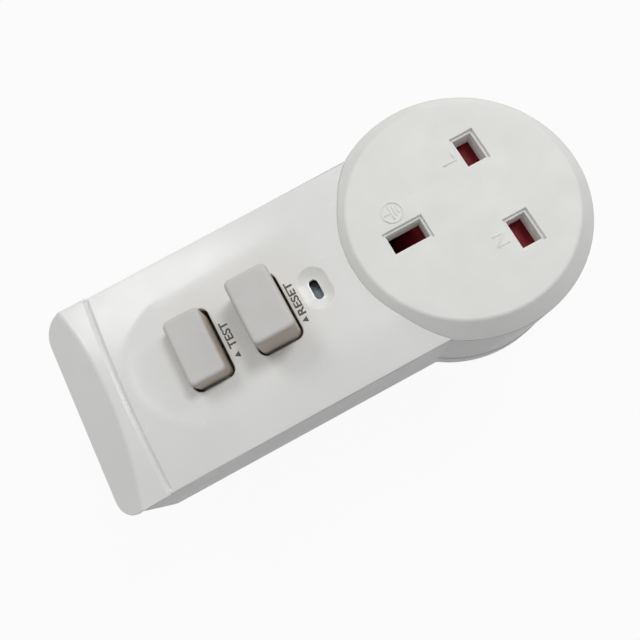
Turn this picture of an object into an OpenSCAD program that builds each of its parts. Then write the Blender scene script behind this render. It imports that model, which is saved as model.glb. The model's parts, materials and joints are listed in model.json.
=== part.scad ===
// Plug-in residual current adapter: a three-pin plug at the back, a shuttered socket at the front,
// and a trip mechanism with TEST and RESET buttons in the long body.
// The origin is on the wall face, on the socket axis. +Z points out of the socket, -X along the body.

/* [Case] */
// Distance from the socket axis to the chin end
chin_reach = 97; // [95:0.2:110]
// Width of the case
case_w = 48.3; // [47:0.1:56]
// Height from the wall face to the socket face
case_h = 32; // [31:0.5:38]
// Corner radius of the chin in plan
chin_corner_r = 5; // [3:0.5:8]
// Wall thickness of the shells
wall = 2; // [1.6:0.1:2.4]
// Height of the rear cover
rear_h = 5.5; // [5:0.25:6]
// Thickness of the rear cover's plate
rear_plate = 2.5; // [2:0.1:2.8]
// Step from the housing wall out to the rear cover's wall, at the round end
rear_step = 0.2; // [0:0.1:0.5]
// Gap between mating shells
shell_gap = 0.15; // [0.1:0.05:0.3]

/* [Socket face] */
// Outer radius of the round rim
rim_r = 29.2; // [28.5:0.1:32]
// Radius of the flat face inside the sloped rim
face_r = 25.5; // [24.5:0.1:27]
// Height of the sloped rim, down to the seam
rim_drop = 3.75; // [3.2:0.05:4.5]
// Thickness of the face plate
face_plate = 2.4; // [2:0.1:2.8]
// Depth of the shallow recess round each socket opening
recess_d = 0.7; // [0.3:0.1:1]
// Width of that recess outside the opening
recess_w = 0.6; // [0.3:0.1:0.9]
// Wall of the chute under each socket opening
chute_wall = 1; // [0.6:0.1:1.2]

/* [Pins] */
// Distance between live and neutral, and from their line to earth
pin_pitch = 22.2; // [22:0.1:22.4]
// Distance from the socket axis to the earth pin
earth_x = 13.35; // [13:0.05:13.7]
// Long and short sides of the earth pin
earth_pin_size = [8, 4];
// Short and long sides of the live and neutral pins
line_pin_size = [4, 6.35];
// Length of the earth pin from the wall face
earth_pin_l = 22.7; // [22:0.1:23.2]
// Length of the live and neutral pins from the wall face
line_pin_l = 17.7; // [17:0.1:18.2]
// Length of the insulating sleeve outside the wall face
sleeve_l = 9.5; // [8:0.1:10]
// Thickness of the insulating sleeve
sleeve_t = 0.5; // [0.3:0.05:0.7]
// Play round a pin in the socket's openings
opening_play = 0.3; // [0.2:0.05:0.4]

/* [Front cover] */
// Drop of the cover's crest below the socket face
crest_drop = 0.8; // [0.6:0.1:1.2]
// Height of the cover's side edge above the seam
side_land = 0.4; // [0.3:0.1:0.8]
// Drop of the flat button panel below the socket face
panel_drop = 1.75; // [1.4:0.05:2]
// Distance from the socket axis to the panel's round end
panel_reach = 81.6; // [79:0.2:82.5]
// Plan radius of the panel's round end
panel_end_r = 21.7; // [18:0.5:26]
// Width of the slope at the panel's round end
panel_slope_w = 3; // [0.5:0.1:4]
// Distance from the socket axis to the cross groove
groove_x = 84; // [83.8:0.1:85]
// Width of the cross groove
groove_w = 1.3; // [0.8:0.1:1.8]
// Depth of the cross groove
groove_d = 0.55; // [0.3:0.05:0.8]
// Distance from each side of the case to the end of the cross groove
groove_end = 1.4; // [1.2:0.1:3]
// Distance from the socket axis to the ridge above the chin slope
ridge_x = 86.9; // [86:0.1:90]
// Angle of the chin slope
chin_angle = 33; // [20:1:38]
// Height of the cover's edge under the chin slope
chin_land = 1.4; // [1:0.1:1.8]
// How far the cover's chin stands out past the housing on each side
chin_lip = 0.4; // [0:0.1:0.6]

/* [Buttons] */
// Distance from the socket axis to the RESET button
reset_x = 48.6; // [48:0.1:49.2]
// RESET button along and across the body
reset_size = [9.7, 15.4];
// Height of the RESET button above the socket face
reset_rise = 8; // [5:0.25:9]
// Travel of the RESET button
reset_travel = 3.5; // [2.5:0.1:3.6]
// Distance from the socket axis to the TEST button
test_x = 65.2; // [64.6:0.1:65.6]
// TEST button along and across the body
test_size = [8.6, 15.7];
// Height of the TEST button above the socket face
test_rise = 3.3; // [2.5:0.1:5]
// Travel of the TEST button
test_travel = 2; // [1:0.1:2.2]
// Gap between a button and its window
window_gap = 0.45; // [0.4:0.05:0.8]
// Corner radius of a window
window_r = 2; // [1.2:0.1:2.5]
// Edge radius on top of the buttons
button_edge_r = 1; // [0.6:0.1:1.6]
// Wall of the hollow buttons
button_wall = 1.3; // [1:0.1:1.4]

/* [Indicator] */
// Distance from the socket axis to the indicator
lamp_x = 36.4; // [36:0.1:36.8]
// Size of the oval dimple along and across the body
dimple_size = [7.2, 10.2];
// Depth of the dimple
dimple_d = 1.3; // [0.8:0.1:1.5]
// Size of the window slot along and across the body
lamp_slot = [2.1, 4.9];

/* [Shutter] */
// Travel of the shutter
shutter_travel = 6; // [5.7:0.1:6.2]
// Thickness of the shutter
shutter_t = 2.4; // [1.8:0.1:3]
// Depth of the shutter's top below the socket face
shutter_drop = 4.9; // [4.6:0.1:5.2]

/* [Mechanism] */
// Height of the posts that carry the circuit board
board_post_h = 3.5; // [3.2:0.1:4]
// Thickness of the circuit board
board_t = 1.6; // [1:0.1:2]
// Gap left between the contacts when RESET is pressed home
contact_gap = 0.3; // [0.2:0.05:0.5]
// Distance of each fixed contact from the RESET axis
contact_span = 6.9; // [6.7:0.1:7.2]
// Travel of the solenoid plunger
plunger_travel = 1.2; // [0.8:0.1:1.3]
// Outer radius of the solenoid coil
coil_r = 5; // [4:0.1:5.2]
// Outer radius of the current transformer
ring_r = 7.5; // [6.5:0.1:7.6]

/* [Hidden] */
$fn = 64;

// Overshoot of cuts past the faces that they open
cut = 1;
// Clearance between pieces that move past each other
run = 0.3;
// Radial clearance of a pin in its bore
pin_fit = 0.05;
// Clearance of fixed pieces that drop into place
drop_fit = 0.1;

// Main heights
half_w = case_w / 2;
seam_z = case_h - rim_drop;
crest_z = case_h - crest_drop;
panel_z = case_h - panel_drop;
face_under = case_h - face_plate;
chin_rise = tan(chin_angle);
seam_dip_x = -ridge_x - (crest_z - chin_land - seam_z) / chin_rise;
crown_sag = crest_z - seam_z - side_land;
crown_r = (half_w * half_w + crown_sag * crown_sag) / (2 * crown_sag);
far_x = chin_reach + 10;
function facet_z(x) = crest_z - max(0, -ridge_x - x) * chin_rise;

// Socket places
line_x = pin_pitch - earth_x;
line_y = pin_pitch / 2;
earth_opening = [earth_pin_size[0] + 2 * opening_play, earth_pin_size[1] + 2 * opening_play];
line_opening = [line_pin_size[0] + 2 * opening_play, line_pin_size[1] + 2 * opening_play];
OPENINGS = [
    [-earth_x, 0, earth_opening],
    [line_x, line_y, line_opening],
    [line_x, -line_y, line_opening]
];

// Case screws: the body's four reach the front cover, the round end's two reach the socket face
screw_r = 1.45;
screw_head_r = 2.6;
screw_head_t = 2;
screw_sink = 1;
boss_r = 2.8;
boss_wall_gap = 0.55;
body_boss_y = half_w - wall - boss_r - boss_wall_gap;
chin_boss_x = -86.5;
waist_boss_x = -27;
round_boss_d = rim_r - wall - boss_r - 2 * run;
round_boss_angle = 49.5;
boss_split = rear_h + 9;
boss_gap = run;
BODY_BOSSES = [for (x = [chin_boss_x, waist_boss_x], s = [-1, 1]) [x, s * body_boss_y]];
ROUND_BOSSES = [for (s = [-1, 1])
    [round_boss_d * cos(round_boss_angle), s * round_boss_d * sin(round_boss_angle)]];
ALL_BOSSES = concat(BODY_BOSSES, ROUND_BOSSES);
screw_reach = boss_split + 7;

// Board and what stands on it
board_z = rear_plate + board_post_h;
board_top = board_z + board_t;
board_chin_x = -93;
board_waist_x = -22.5;
board_half_w = 17.3;
board_tongue_half_w = 13.5;
board_wide_x = [-83, -31];
BOARD_POSTS = [[-90, 9], [-75.5, -12.5], [-37, 5], [-37, -5]];
board_post_r = 2;
board_screw_r = 1;
board_screw_head_r = 1.9;
board_screw_head_t = 1.2;
board_screw_l = 3;

// Buttons, hung under the cover by side flanges
flange_t = 1.5;
flange_out = 1;
flange_top = seam_z - run;
flange_under = flange_top - flange_t;
roof_t = 1.7;
reset_top = case_h + reset_rise;
test_top = case_h + test_rise;
reset_stem_r = 1.6;
test_stem_r = 1.4;

// Mechanism frame and carriage
frame_top = flange_under - reset_travel - 0.5;
frame_t = 1.4;
frame_under = frame_top - frame_t;
frame_x = [-73, -reset_x + 5.2];
frame_half_w = 16.8;
frame_leg = 2.5;
stem_play = 0.4;
carriage_top = frame_under - 2 * run;
carriage_half_x = 4.9;
carriage_half_y = 13.6;
finger_x = [-reset_x + 5.6, -reset_x + 7];
contact_bar_t = 1;
contact_tip_t = 0.8;
contact_tip_r = 1.8;
contact_half = 2;
fixed_tip_t = 1;
// What the contacts leave of the height over the board, shared by the carriage and the fixed contacts
contact_stack = contact_bar_t + contact_tip_t + reset_travel + contact_gap + fixed_tip_t;
carriage_share = 0.672;
carriage_h = carriage_share * (carriage_top - board_top - contact_stack);
carriage_under = carriage_top - carriage_h;
fixed_block_top = carriage_under - contact_stack;
fixed_tip_top = fixed_block_top + fixed_tip_t;

// Supply bars under the board
pin_head_t = 0.9;
bar_z = rear_plate + pin_head_t;
bar_t = 1;
bar_half_w = 2.5;
tenon_r = 1.5;
tenon_over = 0.5;

// Indicator flag
flag_z = seam_z - 3.75;
flag_r = 2.2;
flag_pin_r = 0.6;
flag_half_y = 2.9;
flag_arm = 5.9;
flag_arm_under = 0.8;
ear_y = 3.5;
ear_t = 1.4;
ear_half_x = 1.6;
ear_drop = 1.4;
lens_t = 1.05;
lens_sink = 0.5;
finger_top = flag_z - flag_arm_under - 0.4;

// Shutter and socket base
shutter_top = case_h - shutter_drop;
shutter_under = shutter_top - shutter_t;
shutter_end = line_x + line_opening[0] / 2 + 0.65;
shutter_back = -4;
shutter_half_y = line_y + line_opening[1] / 2 + 0.3;
shutter_hole = [line_opening[0] + 0.6, line_opening[1] + 0.6];
shutter_arm_half = 3.4;
ramp_tip_x = -earth_x - 1.65;
ramp_flat_x = -earth_x + 2.95;
ramp_h = 6.1;
ramp_low = shutter_top - ramp_h;
ear_half_y = shutter_half_y + 2.1;
ear_x = [-3, 6];
base_z = 9.8;
base_t = 2;
base_top = base_z + base_t;
base_r = rim_r - wall - run;
base_back = -6.5;
rail_y = [shutter_half_y + 0.2, ear_half_y - 0.1];
rail_x = [ear_x[0] - 1, ear_x[1] + shutter_travel + 0.2];
shutter_spring_l = 9.7;
spring_post_x = shutter_end + shutter_spring_l;
spring_post_t = 1.5;
spigot_r = 1;
spigot_l = 1.5;
ledge_w = 2.2;
ledge_t = 2;
ledge_half = 3;

// Socket clips
clip_t = 0.7;
clip_play = 0.1;
earth_clip_lift = 4.5;
earth_clip_base = rear_plate + earth_clip_lift;
earth_clip_top = ramp_low - 0.6;
line_clip_top = shutter_under - 1.5;
wire_join_z = base_top + 2.2;

// Solenoid and latch
sol_y = -4;
sol_x = [-91, -78.5];
yoke_t = 1;
yoke_half = coil_r + 0.5;
sol_z = board_top + yoke_t + yoke_half;
bobbin_in = 1.8;
bobbin_out = 2.6;
bobbin_flange_t = 0.8;
plunger_r = 1.5;
plunger_neck_r = 1;
plunger_head_r = 1.6;
plunger_head_gap = 0.7;
plunger_collar_x = [-72.5, -71.5];
plunger_collar_r = 3;
lever_x = [-58.5, -57];
lever_half_y = 2.8;
lever_pivot_x = (lever_x[0] + lever_x[1]) / 2;
lever_pivot_z = board_top + 2.7;
lever_hub_r = 1.6;
lever_slot_half = 1.3;
lever_top = carriage_top - 0.4;
hook_t = 1.6;
hook_gap = 0.4;
latch_pin_r = 0.8;
bracket_t = 0.8;
bracket_ear = 1.3;
bracket_half_x = 1.75;

// Test circuit
leaf_root_x = -75.5;
leaf_end_x = -61.5;
leaf_t = 0.4;
leaf_roll_r = 0.5;
leaf_y = [-1, 5];
leaf_z = frame_under - 3.2;
leaf_arm = -leaf_root_x - test_x;
leaf_drop = (leaf_end_x - leaf_root_x) * sin(test_travel / leaf_arm * 180 / PI);
test_stem_end = leaf_z + leaf_t / 2 + run + 0.25;
leaf_post_y = [2.2, 5];

// Current transformer
ring_x = [-30, -24];
ring_cheek = 0.5;
ring_wrap = 0.9;
ring_hole_r = 4;
ring_z = board_top + run + ring_r;
wire_r = 1.1;
wire_y = 1.7;
joint_gap = 0.05;

// Board components
can_at = [-84, 7];
can_r = 4;
can_h = 11;
disc_at = [-75.3, 11.25];
disc_t = 3.5;
disc_r = 4.2;
chip_at = [-65, 10];
chip_half = [5, 2];
chip_z = [0.4, 2.2];
chip_lead_pitch = 2.54;
chip_lead_y = 2.5;
resistor_at = [-66.5, -11];
resistor_half = 3.5;
resistor_r = 1.2;
resistor_lead_half = 5;
resistor_lead_t = 0.6;

// Springs: mean radius, wire diameter, turns and the gap at each seat
spring_seat = 0.1;
reset_spring_spec = [2.75, 0.6, 8];
test_spring_spec = [2.3, 0.5, 7];
carriage_spring_spec = [2.5, 0.5, 6];
shutter_spring_spec = [1.8, 0.5, 7];
plunger_spring_spec = [2.3, 0.5, 5];
ring_steps = 8;
ring_sides = 6;

// Plain shapes

module rounded_rect(size, r) {
    square([size[0] - 2 * r, size[1]], center = true);
    square([size[0], size[1] - 2 * r], center = true);
    for (sx = [-1, 1], sy = [-1, 1])
        translate([sx * (size[0] / 2 - r), sy * (size[1] / 2 - r)])
            circle(r = r);
}

// Rectangle with its upper two corners rounded, from z0 to z1
module round_top(w, z0, z1, r) {
    translate([-w / 2, z0]) square([w, z1 - z0 - r]);
    translate([-w / 2 + r, z0]) square([w - 2 * r, z1 - z0]);
    for (s = [-1, 1])
        translate([s * (w / 2 - r), z1 - r]) circle(r = r);
}

// Box between two corners given as [x0, x1], [y0, y1], [z0, z1]
module box(x, y, z) {
    translate([x[0], y[0], z[0]])
        cube([x[1] - x[0], y[1] - y[0], z[1] - z[0]]);
}

module post(x, y, z, r) {
    translate([x, y, z[0]]) cylinder(r = r, h = z[1] - z[0]);
}

// Round bar along X
module bar_x(x, y, z, r) {
    translate([x[0], y, z]) rotate([0, 90, 0]) cylinder(r = r, h = x[1] - x[0]);
}

// Round bar along Y
module bar_y(x, y, z, r) {
    translate([x, y[1], z]) rotate([90, 0, 0]) cylinder(r = r, h = y[1] - y[0]);
}

// Profile drawn in X and Z, made solid across Y
module along_y(y) {
    translate([0, y[1], 0]) rotate([90, 0, 0]) linear_extrude(height = y[1] - y[0]) children();
}

// Profile drawn in Y and Z, made solid along X
module along_x(x) {
    translate([x[0], 0, 0]) rotate([90, 0, 90]) linear_extrude(height = x[1] - x[0]) children();
}

// Tubes along points

function unit(v) = v / norm(v);
function side_of(t) = unit(cross(t, [0, 0, 1]));
function tangent(p, i) =
    unit(p[min(i + 1, len(p) - 1)] - p[max(i - 1, 0)]);
function ring_at(p, i, r, sides) =
    let (t = tangent(p, i), u = side_of(t), v = cross(u, t))
    [for (k = [0:sides - 1]) p[i] + r * (cos(360 * k / sides) * u + sin(360 * k / sides) * v)];

module tube(p, r, sides) {
    n = len(p);
    points = [for (i = [0:n - 1]) each ring_at(p, i, r, sides)];
    skin = [for (i = [0:n - 2], k = [0:sides - 1])
        let (a = i * sides + k, b = i * sides + (k + 1) % sides)
        each [[a, b, a + sides], [b, b + sides, a + sides]]];
    caps = [for (k = [1:sides - 2])
        each [[0, k + 1, k], [(n - 1) * sides, (n - 1) * sides + k, (n - 1) * sides + k + 1]]];
    polyhedron(points = points, faces = concat(skin, caps));
}

function coil_points(mean_r, rise, turns) =
    [for (i = [0:turns * ring_steps])
        let (a = 360 * i / ring_steps)
        [mean_r * cos(a), mean_r * sin(a), rise * i / (turns * ring_steps)]];
function least_gap(p, d) =
    min([for (i = [0:len(p) - 1], j = [i + ring_steps - 2:1:len(p) - 1]) norm(p[i] - p[j]) - d]);

// Spring that stands on the origin along Z, with a small gap at both seats
module coil_spring(name, spec, length) {
    p = coil_points(spec[0], length - spec[1] - 2 * spring_seat, spec[2]);
    echo(str(name, " least gap ", least_gap(p, spec[1]), " mm"));
    translate([0, 0, spec[1] / 2 + spring_seat]) tube(p, spec[1] / 2, ring_sides);
}

// Smooth curve through hand-set points
function curve_at(a, b, c, d, t) =
    0.5 * (2 * b + (c - a) * t + (2 * a - 5 * b + 4 * c - d) * t * t
    + (3 * b - a - 3 * c + d) * t * t * t);
function smooth(p, steps) =
    concat([for (i = [0:len(p) - 2], s = [0:steps - 1])
        curve_at(p[max(i - 1, 0)], p[i], p[i + 1], p[min(i + 2, len(p) - 1)], s / steps)],
        [p[len(p) - 1]]);

// Case

// Strip with round corners at the chin end, from x = -reach to x = end
module chin_strip(half, reach, r, end) {
    translate([-reach + r, -half]) square([reach - r + end, 2 * half]);
    translate([-reach, -half + r]) square([reach + end, 2 * (half - r)]);
    for (s = [-1, 1])
        translate([-reach + r, s * (half - r)]) circle(r = r);
}

module body_outline(inset = 0) {
    chin_strip(half_w - inset, chin_reach - inset, max(chin_corner_r - inset, 0.5), 0);
}

// The cover is a little wider than the housing from the cross groove to the chin end
module cover_outline() {
    chin_strip(half_w + chin_lip, chin_reach, chin_corner_r, -groove_x);
    translate([-groove_x - cut, -half_w]) square([groove_x + cut, case_w]);
}

module case_outline(inset = 0) {
    circle(r = rim_r - inset, $fn = 128);
    body_outline(inset);
}

module rear_outline(inset = 0) {
    circle(r = rim_r + rear_step - inset, $fn = 128);
    body_outline(inset);
}

// Everything above the seam, which dips along the chin slope
module above_seam() {
    along_y([-half_w - rim_r, half_w + rim_r])
        polygon([
            [-far_x, facet_z(-far_x) - chin_land],
            [seam_dip_x, seam_z],
            [far_x, seam_z],
            [far_x, 2 * case_h],
            [-far_x, 2 * case_h]
        ]);
}

module crown_solid() {
    translate([0, 0, crest_z - crown_r])
        rotate([0, 90, 0])
            cylinder(r = crown_r, h = 2 * far_x, center = true, $fn = 256);
}

module chin_cut() {
    along_y([-half_w - cut, half_w + cut])
        polygon([
            [-ridge_x, crest_z],
            [-ridge_x, 2 * case_h],
            [-far_x, 2 * case_h],
            [-far_x, facet_z(-far_x)]
        ]);
}

// Flat panel floor with a sloped round end
module panel_cut() {
    end_x = -(panel_reach - panel_end_r);
    rise = 2 * (crest_z - panel_z);
    translate([end_x, 0, panel_z])
        cylinder(r1 = panel_end_r - panel_slope_w, r2 = panel_end_r + panel_slope_w, h = rise, $fn = 128);
    box([end_x, 0], [-panel_end_r, panel_end_r], [panel_z, panel_z + rise]);
}

// Swept along the crown: a long slope on the chin side, a narrow floor and a steep step on the panel side
module groove_cut() {
    floor_r = crown_r - groove_d;
    slope = 0.6 * groove_w / groove_d;
    step = 0.15 * groove_w / groove_d;
    end_y = half_w - groove_end;
    intersection() {
        translate([-groove_x, 0, crest_z - crown_r])
            rotate([0, 90, 0])
                rotate_extrude($fn = 256)
                    polygon([
                        [floor_r, 0.1 * groove_w],
                        [floor_r, 0.35 * groove_w],
                        [crown_r + cut, groove_w / 2 + step * cut],
                        [crown_r + cut, -groove_w / 2 - slope * cut]
                    ]);
        box([-far_x, 0], [-end_y, end_y], [seam_z, 2 * case_h]);
    }
}

// Oval bowl round the indicator's slot
module dimple_cut() {
    r_top = dimple_size[0] / 2;
    r_low = lamp_slot[0] / 2 + 0.4;
    offset_y = (dimple_size[1] - dimple_size[0]) / 2;
    low = panel_z - dimple_d;
    over = 0.5;
    grow = over * (r_top - r_low) / dimple_d;
    for (s = [-1, 1])
        translate([-lamp_x, s * offset_y, low])
            cylinder(r1 = r_low, r2 = r_top + grow, h = dimple_d + over);
    along_y([-offset_y, offset_y])
        polygon([
            [-lamp_x - r_low, low],
            [-lamp_x + r_low, low],
            [-lamp_x + r_top + grow, panel_z + over],
            [-lamp_x - r_top - grow, panel_z + over]
        ]);
}

module lamp_hole(z, inset = 0) {
    translate([-lamp_x, 0, z[0]])
        linear_extrude(height = z[1] - z[0])
            rounded_rect([lamp_slot[0] - 2 * inset, lamp_slot[1] - 2 * inset], lamp_slot[0] / 2 - inset - 0.01);
}

module window(x, size) {
    translate([-x, 0, seam_z - cut])
        linear_extrude(height = case_h)
            rounded_rect([size[0] + 2 * window_gap, size[1] + 2 * window_gap], window_r);
}

module screw_pillars(places, top) {
    for (p = places)
        post(p[0], p[1], [boss_split + boss_gap, top], boss_r);
}

module screw_bores(places) {
    for (p = places)
        post(p[0], p[1], [boss_split, screw_reach + 1], screw_r + pin_fit);
}

module front_cover() {
    lip_t = 1.2;
    lip_h = 2;
    lip_y = half_w - wall - shell_gap;
    color("whitesmoke")
        difference() {
            union() {
                difference() {
                    intersection() {
                        linear_extrude(height = case_h) cover_outline();
                        crown_solid();
                        above_seam();
                    }
                    chin_cut();
                    panel_cut();
                    groove_cut();
                }
                for (s = [-1, 1]) {
                    box([chin_boss_x + boss_r + 4 * run, waist_boss_x - boss_r - 4 * run],
                        s > 0 ? [lip_y - lip_t, lip_y] : [-lip_y, -lip_y + lip_t],
                        [seam_z - lip_h, seam_z + side_land / 2]);
                    box([-lamp_x - ear_half_x, -lamp_x + ear_half_x],
                        s > 0 ? [ear_y, ear_y + ear_t] : [-ear_y - ear_t, -ear_y],
                        [flag_z - ear_drop, seam_z + side_land / 2]);
                }
                screw_pillars(BODY_BOSSES, seam_z + side_land / 2);
            }
            translate([0, 0, seam_z])
                cylinder(r1 = rim_r + shell_gap, r2 = face_r + shell_gap, h = rim_drop, $fn = 128);
            window(reset_x, reset_size);
            window(test_x, test_size);
            dimple_cut();
            lamp_hole([seam_z - cut, panel_z]);
            screw_bores(BODY_BOSSES);
            bar_y(-lamp_x, [-ear_y - ear_t - cut, ear_y + ear_t + cut], flag_z, flag_pin_r + pin_fit);
        }
}

module socket_face() {
    skirt_r = rim_r - wall - shell_gap;
    skirt_t = 1.2;
    skirt_h = 2;
    seat_w = wall + shell_gap + skirt_t + 1;
    color("white")
        difference() {
            union() {
                rotate_extrude($fn = 128)
                    polygon([
                        [0, face_under],
                        [rim_r - seat_w, face_under],
                        [rim_r - seat_w, seam_z],
                        [rim_r, seam_z],
                        [face_r, case_h],
                        [0, case_h]
                    ]);
                difference() {
                    post(0, 0, [seam_z - skirt_h, seam_z + 0.2], skirt_r);
                    post(0, 0, [seam_z - skirt_h - cut, seam_z + cut], skirt_r - skirt_t);
                    box([-2 * rim_r, base_back], [-rim_r, rim_r], [0, case_h]);
                }
                screw_pillars(ROUND_BOSSES, face_under + 0.5);
                for (o = OPENINGS)
                    translate([o[0], o[1], shutter_top + run])
                        linear_extrude(height = face_under + 0.5 - shutter_top - run)
                            square([o[2][0] + 2 * chute_wall, o[2][1] + 2 * chute_wall], center = true);
            }
            for (o = OPENINGS)
                translate([o[0], o[1], 0]) {
                    linear_extrude(height = case_h + cut)
                        square(o[2], center = true);
                    translate([0, 0, case_h - recess_d])
                        linear_extrude(height = recess_d + cut)
                            square([o[2][0] + 2 * recess_w, o[2][1] + 2 * recess_w], center = true);
                }
            screw_bores(ROUND_BOSSES);
        }
}

module housing() {
    web_t = 2;
    web_h = 3.5;
    color("gainsboro")
        difference() {
            union() {
                difference() {
                    translate([0, 0, rear_h]) linear_extrude(height = case_h - rear_h) case_outline();
                    translate([0, 0, rear_h - cut]) linear_extrude(height = case_h) case_outline(wall);
                    above_seam();
                }
                for (p = BODY_BOSSES) {
                    post(p[0], p[1], [rear_h, boss_split], boss_r);
                    box([p[0] - web_t / 2, p[0] + web_t / 2],
                        p[1] > 0 ? [p[1], half_w - wall / 2] : [-half_w + wall / 2, p[1]],
                        [rear_h + 0.5, rear_h + web_h]);
                }
                for (p = ROUND_BOSSES) {
                    post(p[0], p[1], [rear_h, boss_split], boss_r);
                    rotate([0, 0, atan2(p[1], p[0])])
                        box([round_boss_d, rim_r - wall / 2], [-web_t / 2, web_t / 2],
                            [rear_h + 0.5, rear_h + web_h]);
                }
                for (turn = [-85, -20, 20, 85])
                    rotate([0, 0, turn])
                        box([rim_r - wall - ledge_w, rim_r - wall / 2], [-ledge_half, ledge_half],
                            [base_z - ledge_t, base_z]);
            }
            for (p = ALL_BOSSES)
                post(p[0], p[1], [0, boss_split + cut], screw_r + 2 * pin_fit + drop_fit);
        }
}

module rear_cover() {
    tower_r = boss_r + 1.2;
    color("gainsboro")
        difference() {
            union() {
                difference() {
                    linear_extrude(height = rear_h) rear_outline();
                    translate([0, 0, rear_plate]) linear_extrude(height = rear_h) rear_outline(wall);
                }
                intersection() {
                    linear_extrude(height = rear_h) rear_outline();
                    for (p = ALL_BOSSES)
                        post(p[0], p[1], [0, rear_h], tower_r);
                }
                for (p = BOARD_POSTS)
                    post(p[0], p[1], [rear_plate / 2, board_z], board_post_r);
            }
            for (p = ALL_BOSSES) {
                post(p[0], p[1], [-cut, rear_h + cut], screw_r + 2 * pin_fit + drop_fit);
                post(p[0], p[1], [-cut, screw_sink + screw_head_t], screw_head_r + 2 * drop_fit);
            }
            for (p = BOARD_POSTS)
                post(p[0], p[1], [board_z - board_screw_l - 0.5, board_z + cut], board_screw_r + pin_fit);
            for (s = [-1, 1])
                translate([line_x, s * line_y, -cut])
                    linear_extrude(height = rear_h)
                        square([line_pin_size[0] + 2 * drop_fit, line_pin_size[1] + 2 * drop_fit], center = true);
            translate([-earth_x, 0, -cut])
                linear_extrude(height = rear_h)
                    square([earth_pin_size[0] + 2 * drop_fit, earth_pin_size[1] + 2 * drop_fit], center = true);
        }
}

module case_screws() {
    drive = 1.5;
    color("silver")
        for (p = ALL_BOSSES)
            difference() {
                union() {
                    post(p[0], p[1], [screw_sink, screw_sink + screw_head_t], screw_head_r);
                    post(p[0], p[1], [screw_sink, screw_reach], screw_r);
                }
                for (turn = [0, 90])
                    translate([p[0], p[1], screw_sink])
                        rotate([0, 0, turn])
                            cube([2 * drive, 0.6, 2 * drive], center = true);
            }
}

// Buttons and their springs

module button(x, size, top, travel, stem_r, stem_end) {
    inner = [size[0] - 2 * button_wall, size[1] - 2 * button_wall];
    translate([-x, 0, 0])
        difference() {
            union() {
                intersection() {
                    translate([0, 0, flange_under])
                        linear_extrude(height = top - flange_under)
                            rounded_rect(size, button_edge_r);
                    along_y([-size[1], size[1]]) round_top(size[0], flange_under, top, button_edge_r);
                    along_x([-size[0], size[0]]) round_top(size[1], flange_under, top, button_edge_r);
                }
                translate([0, 0, flange_under])
                    linear_extrude(height = flange_t)
                        square([size[0] - 2 * button_edge_r, size[1] + 2 * (window_gap + flange_out)], center = true);
            }
            translate([0, 0, flange_under - cut])
                linear_extrude(height = top - roof_t - flange_under + cut)
                    square(inner, center = true);
        }
    post(-x, 0, [stem_end, top - roof_t / 2], stem_r);
}

module reset_button() {
    color("lightgray")
        button(reset_x, reset_size, reset_top, reset_travel, reset_stem_r, carriage_top + run);
}

module test_button() {
    color("lightgray")
        button(test_x, test_size, test_top, test_travel, test_stem_r, test_stem_end);
}

module reset_spring() {
    color("silver")
        translate([-reset_x, 0, frame_top])
            coil_spring("reset spring", reset_spring_spec, reset_top - roof_t - frame_top);
}

module test_spring() {
    color("silver")
        translate([-test_x, 0, frame_top])
            coil_spring("test spring", test_spring_spec, test_top - roof_t - frame_top);
}

// Indicator

module indicator_lens() {
    color("dimgray") {
        box([-lamp_x - ear_half_x, -lamp_x + ear_half_x], [-ear_y + drop_fit, ear_y - drop_fit],
            [seam_z - lens_t, seam_z]);
        lamp_hole([seam_z - lens_t / 2, panel_z - dimple_d - lens_sink], drop_fit);
    }
}

module indicator_flag() {
    color("black")
        difference() {
            along_y([-flag_half_y, flag_half_y]) {
                intersection() {
                    translate([-lamp_x, flag_z]) circle(r = flag_r);
                    translate([-lamp_x - flag_r, flag_z - flag_arm_under])
                        square([2 * flag_r, 2 * flag_r]);
                }
                translate([-lamp_x, flag_z]) circle(r = 1.3);
                translate([-lamp_x - flag_arm, flag_z - flag_arm_under]) square([flag_arm, 1]);
            }
            bar_y(-lamp_x, [-flag_half_y - cut, flag_half_y + cut], flag_z, flag_pin_r + pin_fit);
        }
}

module flag_pin() {
    color("silver")
        bar_y(-lamp_x, [-ear_y - ear_t, ear_y + ear_t], flag_z, flag_pin_r);
}

// Socket

module shutter() {
    color("darkred")
        difference() {
            union() {
                box([shutter_back, shutter_end], [-shutter_half_y, shutter_half_y], [shutter_under, shutter_top]);
                box(ear_x, [-ear_half_y, ear_half_y], [shutter_under, shutter_top]);
                along_y([-shutter_arm_half, shutter_arm_half])
                    polygon([
                        [shutter_back, shutter_top],
                        [ramp_flat_x, shutter_top],
                        [ramp_tip_x, ramp_low],
                        [ramp_tip_x + 2, ramp_low],
                        [ramp_flat_x + 2.4, shutter_under],
                        [shutter_back, shutter_under]
                    ]);
                bar_x([shutter_end, shutter_end + spigot_l], 0, shutter_top - shutter_t / 2, spigot_r);
            }
            for (s = [-1, 1])
                translate([line_x - shutter_travel, s * line_y, shutter_under - cut])
                    linear_extrude(height = shutter_t + 2 * cut)
                        square(shutter_hole, center = true);
        }
}

module shutter_spring() {
    color("silver")
        translate([shutter_end, 0, shutter_top - shutter_t / 2])
            rotate([0, 90, 0])
                coil_spring("shutter spring", shutter_spring_spec, spring_post_x - shutter_end);
}

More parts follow.
